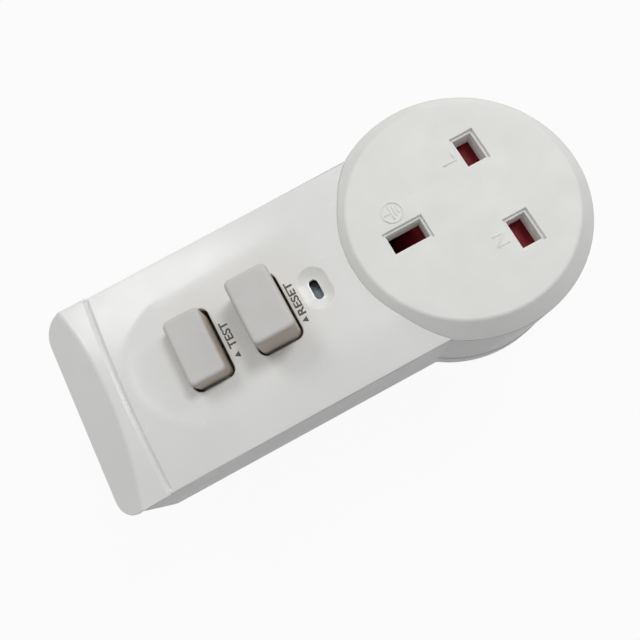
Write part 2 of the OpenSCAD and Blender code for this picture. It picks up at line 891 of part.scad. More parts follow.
module socket_base() {
    post_half = 3;
    color("ivory")
        difference() {
            union() {
                difference() {
                    post(0, 0, [base_z, base_top], base_r);
                    box([-2 * rim_r, base_back], [-rim_r, rim_r], [0, case_h]);
                }
                for (s = [-1, 1])
                    box(rail_x, s > 0 ? rail_y : [-rail_y[1], -rail_y[0]], [base_z, shutter_under - run]);
                box([spring_post_x, spring_post_x + spring_post_t], [-post_half, post_half],
                    [base_z, shutter_top]);
            }
            for (p = ROUND_BOSSES)
                post(p[0], p[1], [0, case_h], boss_r + run);
        }
}

// Sprung clip of two leaves on a base, gripping along X or along Y
module clip(pin, leaf_w, z, across_x) {
    gap = pin + 2 * clip_play;
    outer = gap + 2 * clip_t;
    size = across_x ? [outer, leaf_w] : [leaf_w, outer];
    inside = across_x ? [gap, leaf_w + 2 * cut] : [leaf_w + 2 * cut, gap];
    translate([0, 0, z[0]])
        difference() {
            linear_extrude(height = z[1] - z[0]) square(size, center = true);
            translate([0, 0, clip_t]) linear_extrude(height = z[1]) square(inside, center = true);
        }
}

module line_clip(s) {
    color("goldenrod")
        translate([line_x, s * line_y, 0])
            clip(line_pin_size[0], line_pin_size[1] - 0.4, [base_top, line_clip_top], true);
}

module live_socket_clip() { line_clip(1); }

module neutral_socket_clip() { line_clip(-1); }

module earth_socket_clip() {
    color("goldenrod")
        translate([-earth_x, 0, 0])
            clip(earth_pin_size[1], earth_pin_size[0] - 0.7, [earth_clip_base, earth_clip_top], false);
}

// Plug pins

module blade(size, z, tip) {
    intersection() {
        along_y([-size[1] / 2, size[1] / 2]) blade_profile(size[0], z, tip);
        along_x([-size[0] / 2, size[0] / 2]) blade_profile(size[1], z, tip);
    }
}

module blade_profile(w, z, tip) {
    polygon([
        [-w / 2, z[1]], [-w / 2, z[0] + tip], [-w / 2 + tip, z[0]],
        [w / 2 - tip, z[0]], [w / 2, z[0] + tip], [w / 2, z[1]]
    ]);
}

module line_pin(s) {
    tip = 1;
    neck = [line_pin_size[0] - 2 * sleeve_t, line_pin_size[1] - 2 * sleeve_t];
    color("gold")
        translate([line_x, s * line_y, 0]) {
            blade(line_pin_size, [-line_pin_l, -sleeve_l], tip);
            translate([0, 0, -sleeve_l - tip])
                linear_extrude(height = sleeve_l + tip + rear_plate + pin_head_t) square(neck, center = true);
            translate([0, 0, rear_plate])
                linear_extrude(height = pin_head_t)
                    square([line_pin_size[0] + 2, line_pin_size[1] + 2], center = true);
            post(0, 0, [rear_plate, bar_z + bar_t + tenon_over], tenon_r);
        }
}

module live_pin() { line_pin(1); }

module neutral_pin() { line_pin(-1); }

module earth_pin() {
    tip = 1.2;
    head_t = 1.5;
    color("gold")
        translate([-earth_x, 0, 0]) {
            blade(earth_pin_size, [-earth_pin_l, rear_plate], tip);
            translate([0, 0, rear_plate])
                linear_extrude(height = head_t)
                    square([earth_pin_size[0] + 2, earth_pin_size[1] + 2], center = true);
            translate([0, 0, rear_plate])
                linear_extrude(height = earth_clip_base - rear_plate)
                    square([earth_pin_size[0] - 2, earth_pin_size[1]], center = true);
        }
}

module pin_sleeve(s) {
    color("black")
        translate([line_x, s * line_y, -sleeve_l])
            linear_extrude(height = sleeve_l + rear_plate)
                difference() {
                    square(line_pin_size, center = true);
                    square([line_pin_size[0] - 2 * sleeve_t, line_pin_size[1] - 2 * sleeve_t], center = true);
                }
}

module live_pin_sleeve() { pin_sleeve(1); }

module neutral_pin_sleeve() { pin_sleeve(-1); }

// Current path

module supply_bar(s) {
    color("goldenrod")
        translate([0, s * line_y, 0])
            difference() {
                box([-reset_x - contact_span - contact_half, line_x + line_pin_size[0] / 2 + 1],
                    [-bar_half_w, bar_half_w], [bar_z, bar_z + bar_t]);
                post(line_x, 0, [0, case_h], tenon_r + pin_fit);
            }
}

module live_supply_bar() { supply_bar(1); }

module neutral_supply_bar() { supply_bar(-1); }

module fixed_contact(s, x, foot) {
    color("gold")
        translate([x, s * line_y, 0]) {
            box([-contact_half, contact_half], [-contact_half, contact_half], [foot, fixed_block_top]);
            post(0, 0, [fixed_block_top, fixed_tip_top], contact_tip_r);
        }
}

module live_supply_contact() { fixed_contact(1, -reset_x - contact_span, bar_z + bar_t); }

module neutral_supply_contact() { fixed_contact(-1, -reset_x - contact_span, bar_z + bar_t); }

module live_load_contact() { fixed_contact(1, -reset_x + contact_span, board_top); }

module neutral_load_contact() { fixed_contact(-1, -reset_x + contact_span, board_top); }

module moving_contact(s) {
    under = carriage_under - contact_bar_t;
    color("gold")
        translate([-reset_x, s * line_y, 0]) {
            box([-contact_span - contact_half, contact_span + contact_half], [-contact_half, contact_half],
                [under, carriage_under]);
            for (x = [-contact_span, contact_span])
                post(x, 0, [under - contact_tip_t, under], contact_tip_r);
        }
}

module live_moving_contact() { moving_contact(1); }

module neutral_moving_contact() { moving_contact(-1); }

module contact_carriage() {
    finger_half = 1.5;
    color("beige") {
        box([-reset_x - carriage_half_x, -reset_x + carriage_half_x], [-carriage_half_y, carriage_half_y],
            [carriage_under, carriage_top]);
        box([-reset_x, finger_x[1]], [-finger_half, finger_half],
            [carriage_under + carriage_h / 2, carriage_top]);
        box(finger_x, [-finger_half, finger_half], [carriage_under + carriage_h / 2, finger_top]);
    }
}

module carriage_spring() {
    color("silver")
        translate([-reset_x, 0, board_top])
            coil_spring("carriage spring", carriage_spring_spec, carriage_under - board_top);
}

// Insulated wire from a load contact, through the current transformer, to a socket clip
module load_wire(s, tone) {
    start = [-reset_x + contact_span + contact_half + joint_gap, s * line_y, board_top + wire_r + 0.35];
    end = [line_x - line_pin_size[0] / 2 - clip_play - clip_t - joint_gap, s * line_y, wire_join_z];
    lead = [0.6, 0, 0];
    route = [
        start + lead, start + 3 * lead,
        [ring_x[0] - 4.5, s * (line_y - 3.1), board_top + 3.9], [ring_x[0] - 2.5, s * 3, ring_z - 0.6],
        [ring_x[0], s * wire_y, ring_z], [ring_x[1], s * wire_y, ring_z],
        [ring_x[1] + 4, s * 4, ring_z], [ring_x[1] + 11, s * (line_y - 3.1), wire_join_z + 1],
        [ring_x[1] + 19, s * (line_y - 0.5), wire_join_z + 0.4],
        end - 6 * lead, end - lead
    ];
    color(tone) tube(concat([start], smooth(route, 3), [end]), wire_r, 8);
}

module live_load_wire() { load_wire(1, "saddlebrown"); }

module neutral_load_wire() { load_wire(-1, "steelblue"); }

// Mechanism

module mechanism_frame() {
    color("ivory")
        difference() {
            union() {
                box(frame_x, [-frame_half_w, frame_half_w], [frame_under, frame_top]);
                for (x = [frame_x[0], frame_x[1] - frame_leg], s = [-1, 1])
                    box([x, x + frame_leg],
                        s > 0 ? [frame_half_w - frame_leg, frame_half_w] : [-frame_half_w, frame_leg - frame_half_w],
                        [board_top, frame_top]);
            }
            post(-reset_x, 0, [0, case_h], reset_stem_r + stem_play);
            post(-test_x, 0, [0, case_h], test_stem_r + stem_play);
        }
}

module circuit_board() {
    color("darkgreen")
        difference() {
            union() {
                box(board_wide_x, [-board_half_w, board_half_w], [board_z, board_top]);
                box([board_chin_x, board_waist_x], [-board_tongue_half_w, board_tongue_half_w], [board_z, board_top]);
            }
            for (s = [-1, 1])
                translate([-reset_x - contact_span, s * line_y, 0])
                    linear_extrude(height = case_h)
                        square(2 * (contact_half + run), center = true);
            for (p = BOARD_POSTS)
                post(p[0], p[1], [0, case_h], board_screw_r + drop_fit);
        }
}

module board_screws() {
    color("silver")
        for (p = BOARD_POSTS) {
            post(p[0], p[1], [board_z - board_screw_l, board_top], board_screw_r);
            post(p[0], p[1], [board_top, board_top + board_screw_head_t], board_screw_head_r);
        }
}

module solenoid_yoke() {
    color("slategray")
        difference() {
            union() {
                box(sol_x, [sol_y - yoke_half, sol_y + yoke_half], [board_top, board_top + yoke_t]);
                for (x = [sol_x[0], sol_x[1] - yoke_t])
                    box([x, x + yoke_t], [sol_y - yoke_half, sol_y + yoke_half], [board_top, sol_z + yoke_half]);
            }
            bar_x([sol_x[0] - cut, sol_x[1] + cut], sol_y, sol_z, bobbin_in + drop_fit);
        }
}

module solenoid_bobbin() {
    ends = [sol_x[0] + yoke_t, sol_x[1] - yoke_t];
    color("ivory")
        difference() {
            union() {
                bar_x(ends, sol_y, sol_z, bobbin_out);
                bar_x([ends[0], ends[0] + bobbin_flange_t], sol_y, sol_z, coil_r + 0.3);
                bar_x([ends[1] - bobbin_flange_t, ends[1]], sol_y, sol_z, coil_r + 0.3);
            }
            bar_x([ends[0] - cut, ends[1] + cut], sol_y, sol_z, bobbin_in);
        }
}

module solenoid_coil() {
    ends = [sol_x[0] + yoke_t + bobbin_flange_t, sol_x[1] - yoke_t - bobbin_flange_t];
    color("chocolate")
        difference() {
            bar_x(ends, sol_y, sol_z, coil_r);
            bar_x([ends[0] - cut, ends[1] + cut], sol_y, sol_z, bobbin_out);
        }
}

module plunger() {
    head_x = lever_x[1] + plunger_head_gap;
    neck_x = plunger_collar_x[1] + 5;
    color("lightslategray") {
        bar_x([sol_x[0] + 5, neck_x], sol_y, sol_z, plunger_r);
        bar_x(plunger_collar_x, sol_y, sol_z, plunger_collar_r);
        bar_x([neck_x - 0.5, head_x + 0.5], sol_y, sol_z, plunger_neck_r);
        bar_x([head_x, head_x + 1], sol_y, sol_z, plunger_head_r);
    }
}

module plunger_spring() {
    color("silver")
        translate([sol_x[1], sol_y, sol_z])
            rotate([0, 90, 0])
                coil_spring("plunger spring", plunger_spring_spec, plunger_collar_x[0] - sol_x[1]);
}

module latch_lever() {
    y = [sol_y - lever_half_y, sol_y + lever_half_y];
    hook_end = -reset_x - carriage_half_x - hook_gap;
    color("dimgray")
        difference() {
            union() {
                box(lever_x, y, [lever_pivot_z, lever_top]);
                box([lever_x[0], hook_end], y, [lever_top - hook_t, lever_top]);
                bar_y(lever_pivot_x, y, lever_pivot_z, lever_hub_r);
            }
            box([lever_x[0] - cut, lever_x[1] + cut], [sol_y - lever_slot_half, sol_y + lever_slot_half],
                [sol_z - plunger_neck_r - 0.8, sol_z + plunger_neck_r + 2]);
            bar_y(lever_pivot_x, [y[0] - cut, y[1] + cut], lever_pivot_z, latch_pin_r + pin_fit);
        }
}

module latch_pin() {
    reach = lever_half_y + run + bracket_ear;
    color("silver")
        bar_y(lever_pivot_x, [sol_y - reach, sol_y + reach], lever_pivot_z, latch_pin_r);
}

module latch_bracket() {
    inner = lever_half_y + run;
    outer = inner + bracket_ear;
    x = [lever_pivot_x - bracket_half_x, lever_pivot_x + bracket_half_x];
    ear_top = lever_pivot_z + 1.3;
    color("slategray")
        difference() {
            union() {
                box(x, [sol_y - outer, sol_y + outer], [board_top, board_top + bracket_t]);
                box(x, [sol_y - outer, sol_y - inner], [board_top, ear_top]);
                box(x, [sol_y + inner, sol_y + outer], [board_top, ear_top]);
            }
            bar_y(lever_pivot_x, [sol_y - outer - cut, sol_y + outer + cut], lever_pivot_z, latch_pin_r + pin_fit);
        }
}

module transformer_core() {
    color("darkslategray")
        difference() {
            bar_x([ring_x[0] + ring_cheek, ring_x[1] - ring_cheek], 0, ring_z, ring_r - ring_wrap);
            bar_x([ring_x[0] - cut, ring_x[1] + cut], 0, ring_z, ring_hole_r);
        }
}

module transformer_winding() {
    color("chocolate")
        difference() {
            bar_x(ring_x, 0, ring_z, ring_r);
            bar_x([ring_x[0] - cut, ring_x[1] + cut], 0, ring_z, ring_hole_r);
            bar_x([ring_x[0] + ring_cheek, ring_x[1] - ring_cheek], 0, ring_z, ring_r - ring_wrap);
        }
}

// Test circuit and board components

module test_leaf() {
    color("goldenrod") {
        box([leaf_root_x, leaf_end_x], leaf_y, [leaf_z - leaf_t / 2, leaf_z + leaf_t / 2]);
        bar_y(leaf_root_x, leaf_y, leaf_z, leaf_roll_r);
    }
}

module test_leaf_post() {
    post_half = 1.25;
    color("gold")
        box([leaf_root_x - post_half, leaf_root_x + post_half], leaf_post_y,
            [board_top, leaf_z - leaf_roll_r - run / 2]);
}

module test_terminal() {
    color("gold")
        box([leaf_end_x - 1.1, leaf_end_x + 0.3], [leaf_post_y[0] - 1.4, leaf_post_y[1] - 1.2],
            [board_top, leaf_z - leaf_t / 2 - leaf_drop - run]);
}

module test_resistor() {
    x = resistor_at[0];
    lead = resistor_lead_t / 2;
    y = [resistor_at[1] - lead, resistor_at[1] + lead];
    z = board_top + resistor_r + run;
    color("tan") {
        bar_x([x - resistor_half, x + resistor_half], resistor_at[1], z, resistor_r);
        box([x - resistor_lead_half, x + resistor_lead_half], y, [z - lead, z + lead]);
        for (foot = [x - resistor_lead_half, x + resistor_lead_half - 2 * lead])
            box([foot, foot + 2 * lead], y, [board_top, z + lead]);
    }
}

module control_chip() {
    color("black") {
        box([chip_at[0] - chip_half[0], chip_at[0] + chip_half[0]],
            [chip_at[1] - chip_half[1], chip_at[1] + chip_half[1]],
            [board_top + chip_z[0], board_top + chip_z[1]]);
        for (i = [-1.5:1.5], s = [-1, 1])
            translate([chip_at[0] + i * chip_lead_pitch, chip_at[1] + s * chip_lead_y, board_top])
                box([-0.3, 0.3], s > 0 ? [-0.6, 0.5] : [-0.5, 0.6], [0, 2 * chip_z[0]]);
    }
}

module capacitor() {
    color("midnightblue")
        post(can_at[0], can_at[1], [board_top, board_top + can_h], can_r);
}

module varistor() {
    color("royalblue")
        bar_y(disc_at[0], [disc_at[1] - disc_t / 2, disc_at[1] + disc_t / 2], board_top + disc_r, disc_r);
}

front_cover();
socket_face();
housing();
rear_cover();
case_screws();
reset_button();
test_button();
reset_spring();
test_spring();
indicator_lens();
indicator_flag();
flag_pin();
shutter();
shutter_spring();
socket_base();
live_socket_clip();
neutral_socket_clip();
earth_socket_clip();
live_pin();
neutral_pin();
earth_pin();
live_pin_sleeve();
neutral_pin_sleeve();
live_supply_bar();
neutral_supply_bar();
live_supply_contact();
neutral_supply_contact();
live_load_contact();
neutral_load_contact();
live_moving_contact();
neutral_moving_contact();
contact_carriage();
carriage_spring();
live_load_wire();
neutral_load_wire();
mechanism_frame();
circuit_board();
board_screws();
solenoid_yoke();
solenoid_bobbin();
solenoid_coil();
plunger();
plunger_spring();
latch_lever();
latch_pin();
latch_bracket();
transformer_core();
transformer_winding();
test_leaf();
test_leaf_post();
test_terminal();
test_resistor();
control_chip();
capacitor();
varistor();
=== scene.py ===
import json
import math

import bmesh
import bpy
from mathutils import Matrix, Vector


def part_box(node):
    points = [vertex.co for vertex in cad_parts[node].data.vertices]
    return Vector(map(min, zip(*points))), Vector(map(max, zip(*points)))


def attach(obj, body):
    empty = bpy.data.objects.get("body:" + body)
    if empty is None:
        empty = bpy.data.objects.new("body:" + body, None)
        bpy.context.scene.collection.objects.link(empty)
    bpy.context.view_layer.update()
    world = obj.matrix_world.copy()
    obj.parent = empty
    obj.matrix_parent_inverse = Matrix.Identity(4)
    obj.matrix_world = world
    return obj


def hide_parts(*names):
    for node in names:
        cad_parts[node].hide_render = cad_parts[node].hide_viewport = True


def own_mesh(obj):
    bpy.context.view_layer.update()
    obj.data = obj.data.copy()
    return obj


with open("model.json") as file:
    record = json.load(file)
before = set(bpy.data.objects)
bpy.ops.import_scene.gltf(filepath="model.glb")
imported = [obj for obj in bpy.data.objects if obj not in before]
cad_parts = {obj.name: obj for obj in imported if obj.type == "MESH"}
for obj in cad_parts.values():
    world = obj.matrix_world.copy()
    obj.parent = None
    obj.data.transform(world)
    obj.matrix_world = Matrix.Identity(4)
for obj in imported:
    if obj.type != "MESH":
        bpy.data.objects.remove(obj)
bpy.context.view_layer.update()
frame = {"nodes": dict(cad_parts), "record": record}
nodes = frame["nodes"]
scene = bpy.context.scene
scene.view_settings.view_transform = "Standard"
mm = 0.001
print("frame loaded:", len(nodes), "nodes")


# sizes taken from the solids, in millimetres
def spot(node):
    return [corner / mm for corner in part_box(node)]


faceTop = spot("socket_face")[1].z
roundR = spot("socket_face")[1].x
coverLow = spot("front_cover")[0]
rearHigh = spot("rear_cover")[1].z
caseHalf = 24.15  # half the width of the straight body
neckX = -math.sqrt(roundR ** 2 - caseHalf ** 2)  # where the straight body meets the round end
chinX = coverLow.x
seamZ = 28.25  # joint between the cover and the housing

# camera, at the angle of the photograph: its place in millimetres, and near and far in metres
camera = {
    "place": (-43.18, -37.86, 155.20),
    "right": (0.87904, -0.46875, -0.08693),
    "up": (0.47565, 0.85000, 0.22638),
    "back": (-0.03222, -0.24035, 0.97015),
    "lens": 33.43, "sensor": 36.0, "near": 0.005, "far": 20,
}


def addCamera(spec):
    data = bpy.data.cameras.new("camera")
    data.lens = spec["lens"]
    data.sensor_width = spec["sensor"]
    data.clip_start = spec["near"]
    data.clip_end = spec["far"]
    view = bpy.data.objects.new("camera", data)
    scene.collection.objects.link(view)
    turn = Matrix((spec["right"], spec["up"], spec["back"])).transposed()
    view.matrix_world = Matrix.Translation(Vector(spec["place"]) * mm) @ turn.to_4x4()
    scene.camera = view


addCamera(camera)
print("camera set")


# materials, with every pattern on Object coordinates
def startMaterial(name):
    mat = bpy.data.materials.new(name)
    mat.use_nodes = True
    tree = mat.node_tree
    tree.nodes.clear()
    out = tree.nodes.new("ShaderNodeOutputMaterial")
    skin = tree.nodes.new("ShaderNodeBsdfPrincipled")
    tree.links.new(skin.outputs["BSDF"], out.inputs["Surface"])
    place = tree.nodes.new("ShaderNodeTexCoord")
    return mat, tree, skin, place.outputs["Object"]


def addNoise(tree, where, size, detail=3.0, rough=0.55, stretch=None):
    # size is the width of one blotch in millimetres
    if stretch:
        mapping = tree.nodes.new("ShaderNodeMapping")
        mapping.inputs["Scale"].default_value = stretch
        tree.links.new(where, mapping.inputs["Vector"])
        where = mapping.outputs["Vector"]
    noise = tree.nodes.new("ShaderNodeTexNoise")
    noise.inputs["Scale"].default_value = 1.0 / (size * mm)
    noise.inputs["Detail"].default_value = detail
    noise.inputs["Roughness"].default_value = rough
    tree.links.new(where, noise.inputs["Vector"])
    return noise.outputs["Fac"]


def addRange(tree, value, low, high, start=0.3, stop=0.7):
    ranged = tree.nodes.new("ShaderNodeMapRange")
    ranged.inputs["From Min"].default_value = start
    ranged.inputs["From Max"].default_value = stop
    ranged.inputs["To Min"].default_value = low
    ranged.inputs["To Max"].default_value = high
    tree.links.new(value, ranged.inputs["Value"])
    return ranged.outputs["Result"]


def addTwoTone(tree, value, first, second, start=0.35, stop=0.65):
    ramp = tree.nodes.new("ShaderNodeValToRGB")
    ramp.color_ramp.elements[0].position = start
    ramp.color_ramp.elements[0].color = (*first, 1)
    ramp.color_ramp.elements[1].position = stop
    ramp.color_ramp.elements[1].color = (*second, 1)
    tree.links.new(value, ramp.inputs["Fac"])
    return ramp.outputs["Color"]


def addBump(tree, height, depth, normal=None):
    # depth is in millimetres
    bump = tree.nodes.new("ShaderNodeBump")
    bump.inputs["Distance"].default_value = depth * mm
    bump.inputs["Strength"].default_value = 1.0
    tree.links.new(height, bump.inputs["Height"])
    if normal:
        tree.links.new(normal, bump.inputs["Normal"])
    return bump.outputs["Normal"]


# upward part of the normal at which a face has all of the painted side shade, and at which it has none
paintedSideShade = {"all": 0.2, "none": 0.9}


def addPaintedSideShade(tree, colour, tone):
    # painted shade: faces that stand upright are darkened and warmed, and faces that look up keep their
    # colour
    facing = tree.nodes.new("ShaderNodeNewGeometry")
    split = tree.nodes.new("ShaderNodeSeparateXYZ")
    tree.links.new(facing.outputs["Normal"], split.inputs["Vector"])
    share = addRange(tree, split.outputs["Z"], 1, 0, paintedSideShade["all"], paintedSideShade["none"])
    mix = tree.nodes.new("ShaderNodeMix")
    mix.data_type = "RGBA"
    mix.blend_type = "MULTIPLY"
    tree.links.new(share, mix.inputs["Factor"])
    tree.links.new(colour, mix.inputs["A"])
    mix.inputs["B"].default_value = (*tone, 1)
    return mix.outputs["Result"]


plastic = {"ior": 1.46, "glossShare": 0.4}  # gloss varies in patches this much smaller than the blotches


def mouldedPlastic(name, spec):
    mat, tree, skin, where = startMaterial(name)
    blotch = addNoise(tree, where, spec["blotch"], detail=4.0)
    colour = addTwoTone(tree, blotch, spec["dark"], spec["light"])
    # painted shade on the upright faces, where the finish asks for it
    if "sides" in spec:
        colour = addPaintedSideShade(tree, colour, spec["sides"])
    tree.links.new(colour, skin.inputs["Base Color"])
    gloss = addNoise(tree, where, spec["blotch"] * plastic["glossShare"])
    tree.links.new(addRange(tree, gloss, *spec["rough"]), skin.inputs["Roughness"])
    grain = addNoise(tree, where, spec["grain"], detail=2.0, rough=0.5)
    flow = addNoise(tree, where, spec["flow"], detail=2.0, rough=0.5)
    rise = addBump(tree, flow, spec["flowDepth"])
    tree.links.new(addBump(tree, grain, spec["grainDepth"], rise), skin.inputs["Normal"])
    skin.inputs["IOR"].default_value = plastic["ior"]
    skin.inputs["Specular IOR Level"].default_value = spec.get("specular", 0.5)
    skin.inputs["Coat Weight"].default_value = spec.get("coat", 0.0)
    skin.inputs["Coat Roughness"].default_value = spec.get("coatRough", 0.1)
    return mat


def lensWithPaintedShade(name, spec):
    # the lens darkens towards its +X and +Y end: partly the dark flag behind it, partly painted shade where
    # the walls of the pocket shade it; the other end keeps its lit colour
    mat, tree, skin, where = startMaterial(name)
    along = tree.nodes.new("ShaderNodeVectorMath")
    along.operation = "DOT_PRODUCT"
    along.inputs[1].default_value = (spec["across"], 1, 0)
    tree.links.new(where, along.inputs[0])
    blotch = addNoise(tree, where, spec["blotch"])
    cloud = addRange(tree, blotch, -spec["cloud"] * mm, spec["cloud"] * mm)
    shifted = tree.nodes.new("ShaderNodeMath")
    shifted.operation = "ADD"
    tree.links.new(along.outputs["Value"], shifted.inputs[0])
    tree.links.new(cloud, shifted.inputs[1])
    middle = spec["across"] * spec["middleX"]
    start, stop = (spec["from"] + middle) * mm, (spec["to"] + middle) * mm
    # share of the dark colour, rising towards +X and +Y: flag and painted shade
    share = addRange(tree, shifted.outputs[0], 0, 1, start, stop)
    colour = addTwoTone(tree, share, spec["clear"], spec["dark"], 0.0, 1.0)
    tree.links.new(colour, skin.inputs["Base Color"])
    tree.links.new(addRange(tree, blotch, *spec["rough"]), skin.inputs["Roughness"])
    ripple = addNoise(tree, where, spec["ripple"], detail=1.0, rough=0.4)
    tree.links.new(addBump(tree, ripple, spec["rippleDepth"]), skin.inputs["Normal"])
    skin.inputs["Specular IOR Level"].default_value = spec["specular"]
    return mat


tarnishShare = 6  # tarnish varies in patches this much larger than the streaks


def plainMetal(name, spec):
    mat, tree, skin, where = startMaterial(name)
    streak = addNoise(tree, where, spec["streak"], detail=4.0, rough=0.6, stretch=spec["stretch"])
    colour = addTwoTone(tree, streak, spec["dark"], spec["light"])
    tree.links.new(colour, skin.inputs["Base Color"])
    tarnish = addNoise(tree, where, spec["streak"] * tarnishShare)
    tree.links.new(addRange(tree, tarnish, *spec["rough"]), skin.inputs["Roughness"])
    tree.links.new(addBump(tree, streak, spec["depth"]), skin.inputs["Normal"])
    skin.inputs["Metallic"].default_value = 1.0
    return mat


bandScale = 0.314  # scale of the wave texture at which one band takes one unit of length


def woundCopper(name, spec):
    mat, tree, skin, where = startMaterial(name)
    wave = tree.nodes.new("ShaderNodeTexWave")
    wave.bands_direction = spec["along"]
    wave.inputs["Scale"].default_value = 1.0 / (spec["pitch"] * mm) * bandScale
    wave.inputs["Distortion"].default_value = spec["waver"]
    tree.links.new(where, wave.inputs["Vector"])
    colour = addTwoTone(tree, wave.outputs["Fac"], spec["dark"], spec["light"], 0.1, 0.8)
    tree.links.new(colour, skin.inputs["Base Color"])
    tree.links.new(addBump(tree, wave.outputs["Fac"], spec["depth"]), skin.inputs["Normal"])
    gloss = addNoise(tree, where, spec["blotch"])
    tree.links.new(addRange(tree, gloss, *spec["rough"]), skin.inputs["Roughness"])
    skin.inputs["Metallic"].default_value = spec["metal"]
    return mat


def lacqueredBoard(name, spec):
    mat, tree, skin, where = startMaterial(name)
    brick = tree.nodes.new("ShaderNodeTexBrick")
    brick.inputs["Scale"].default_value = 1.0
    brick.inputs["Brick Width"].default_value = spec["fieldLength"] * mm
    brick.inputs["Row Height"].default_value = spec["fieldWidth"] * mm
    brick.inputs["Mortar Size"].default_value = spec["trackWidth"] * mm
    brick.inputs["Color1"].default_value = (*spec["dark"], 1)
    brick.inputs["Color2"].default_value = (*spec["light"], 1)
    brick.inputs["Mortar"].default_value = (*spec["track"], 1)
    tree.links.new(where, brick.inputs["Vector"])
    tree.links.new(brick.outputs["Color"], skin.inputs["Base Color"])
    tree.links.new(addBump(tree, brick.outputs["Fac"], spec["depth"]), skin.inputs["Normal"])
    gloss = addNoise(tree, where, spec["blotch"])
    tree.links.new(addRange(tree, gloss, *spec["rough"]), skin.inputs["Roughness"])
    return mat


# finishes: blotch, grain, flow, streak, ripple and pitch are widths in millimetres, and so are depths
coverWhite = {
    "light": (0.80, 0.80, 0.785), "dark": (0.775, 0.775, 0.76), "blotch": 14.0, "rough": (0.20, 0.28),
    "grain": 0.22, "grainDepth": 0.006, "flow": 6.0, "flowDepth": 0.01, "coat": 0.15, "coatRough": 0.25,
}
socketWhite = {
    "light": (0.80, 0.80, 0.782), "dark": (0.77, 0.77, 0.75), "blotch": 11.0, "rough": (0.48, 0.6),
    "grain": 0.3, "grainDepth": 0.007, "flow": 5.0, "flowDepth": 0.03,
}
shellGrey = {
    "light": (0.78, 0.785, 0.785), "dark": (0.75, 0.755, 0.755), "blotch": 16.0, "rough": (0.34, 0.45),
    "grain": 0.22, "grainDepth": 0.006, "flow": 7.0, "flowDepth": 0.01, "specular": 0.04,
}
buttonGrey = {
    "light": (0.63, 0.625, 0.61), "dark": (0.605, 0.6, 0.585), "blotch": 6.0, "rough": (0.42, 0.52),
    "grain": 0.2, "grainDepth": 0.006, "flow": 4.0, "flowDepth": 0.01, "specular": 0.2,
    # painted shade: the caps' upright faces are multiplied by this warm darker colour
    "sides": (0.88, 0.79, 0.71),
}
shutterRed = {
    "light": (0.2, 0.013, 0.018), "dark": (0.15, 0.009, 0.013), "blotch": 4.0, "rough": (0.4, 0.5),
    "grain": 0.3, "grainDepth": 0.003, "flow": 3.0, "flowDepth": 0.02, "specular": 0.1,
}
# clear is the lens's lit colour, and dark stands for the flag together with painted shade from the pocket's
# walls
lensPaintedShade = {
    "clear": (0.19, 0.225, 0.26), "dark": (0.005, 0.005, 0.007), "from": -0.3, "to": 1.3,
    "across": 0.7, "middleX": -36.4, "cloud": 0.5,
    "blotch": 1.1, "rough": (0.12, 0.2), "specular": 0.25, "ripple": 0.9, "rippleDepth": 0.03,
}
flagBlack = {
    "light": (0.03, 0.03, 0.03), "dark": (0.02, 0.02, 0.021), "blotch": 3.0, "rough": (0.4, 0.55),
    "grain": 0.2, "grainDepth": 0.005, "flow": 3.0, "flowDepth": 0.01,
}
sleeveBlack = {
    "light": (0.028, 0.028, 0.03), "dark": (0.02, 0.02, 0.022), "blotch": 4.0, "rough": (0.35, 0.5),
    "grain": 0.25, "grainDepth": 0.006, "flow": 3.0, "flowDepth": 0.012,
}
ivoryPlastic = {
    "light": (0.72, 0.68, 0.58), "dark": (0.68, 0.64, 0.54), "blotch": 8.0, "rough": (0.4, 0.5),
    "grain": 0.25, "grainDepth": 0.006, "flow": 5.0, "flowDepth": 0.015,
}
blueLacquer = {
    "light": (0.05, 0.11, 0.32), "dark": (0.04, 0.085, 0.26), "blotch": 3.0, "rough": (0.25, 0.4),
    "grain": 0.4, "grainDepth": 0.01, "flow": 2.0, "flowDepth": 0.03,
}
tanLacquer = {
    "light": (0.62, 0.48, 0.32), "dark": (0.55, 0.42, 0.27), "blotch": 1.2, "rough": (0.3, 0.45),
    "grain": 0.3, "grainDepth": 0.006, "flow": 1.5, "flowDepth": 0.02,
}
brownRubber = {
    "light": (0.17, 0.075, 0.03), "dark": (0.13, 0.055, 0.022), "blotch": 3.0, "rough": (0.4, 0.55),
    "grain": 0.3, "grainDepth": 0.006, "flow": 2.0, "flowDepth": 0.02,
}
blueRubber = {
    "light": (0.06, 0.16, 0.42), "dark": (0.045, 0.125, 0.34), "blotch": 3.0, "rough": (0.4, 0.55),
    "grain": 0.3, "grainDepth": 0.006, "flow": 2.0, "flowDepth": 0.02,
}
printInk = {
    "light": (0.115, 0.092, 0.08), "dark": (0.085, 0.068, 0.058), "blotch": 0.8, "rough": (0.5, 0.65),
    "grain": 0.15, "grainDepth": 0.003, "flow": 1.0, "flowDepth": 0.004,
}
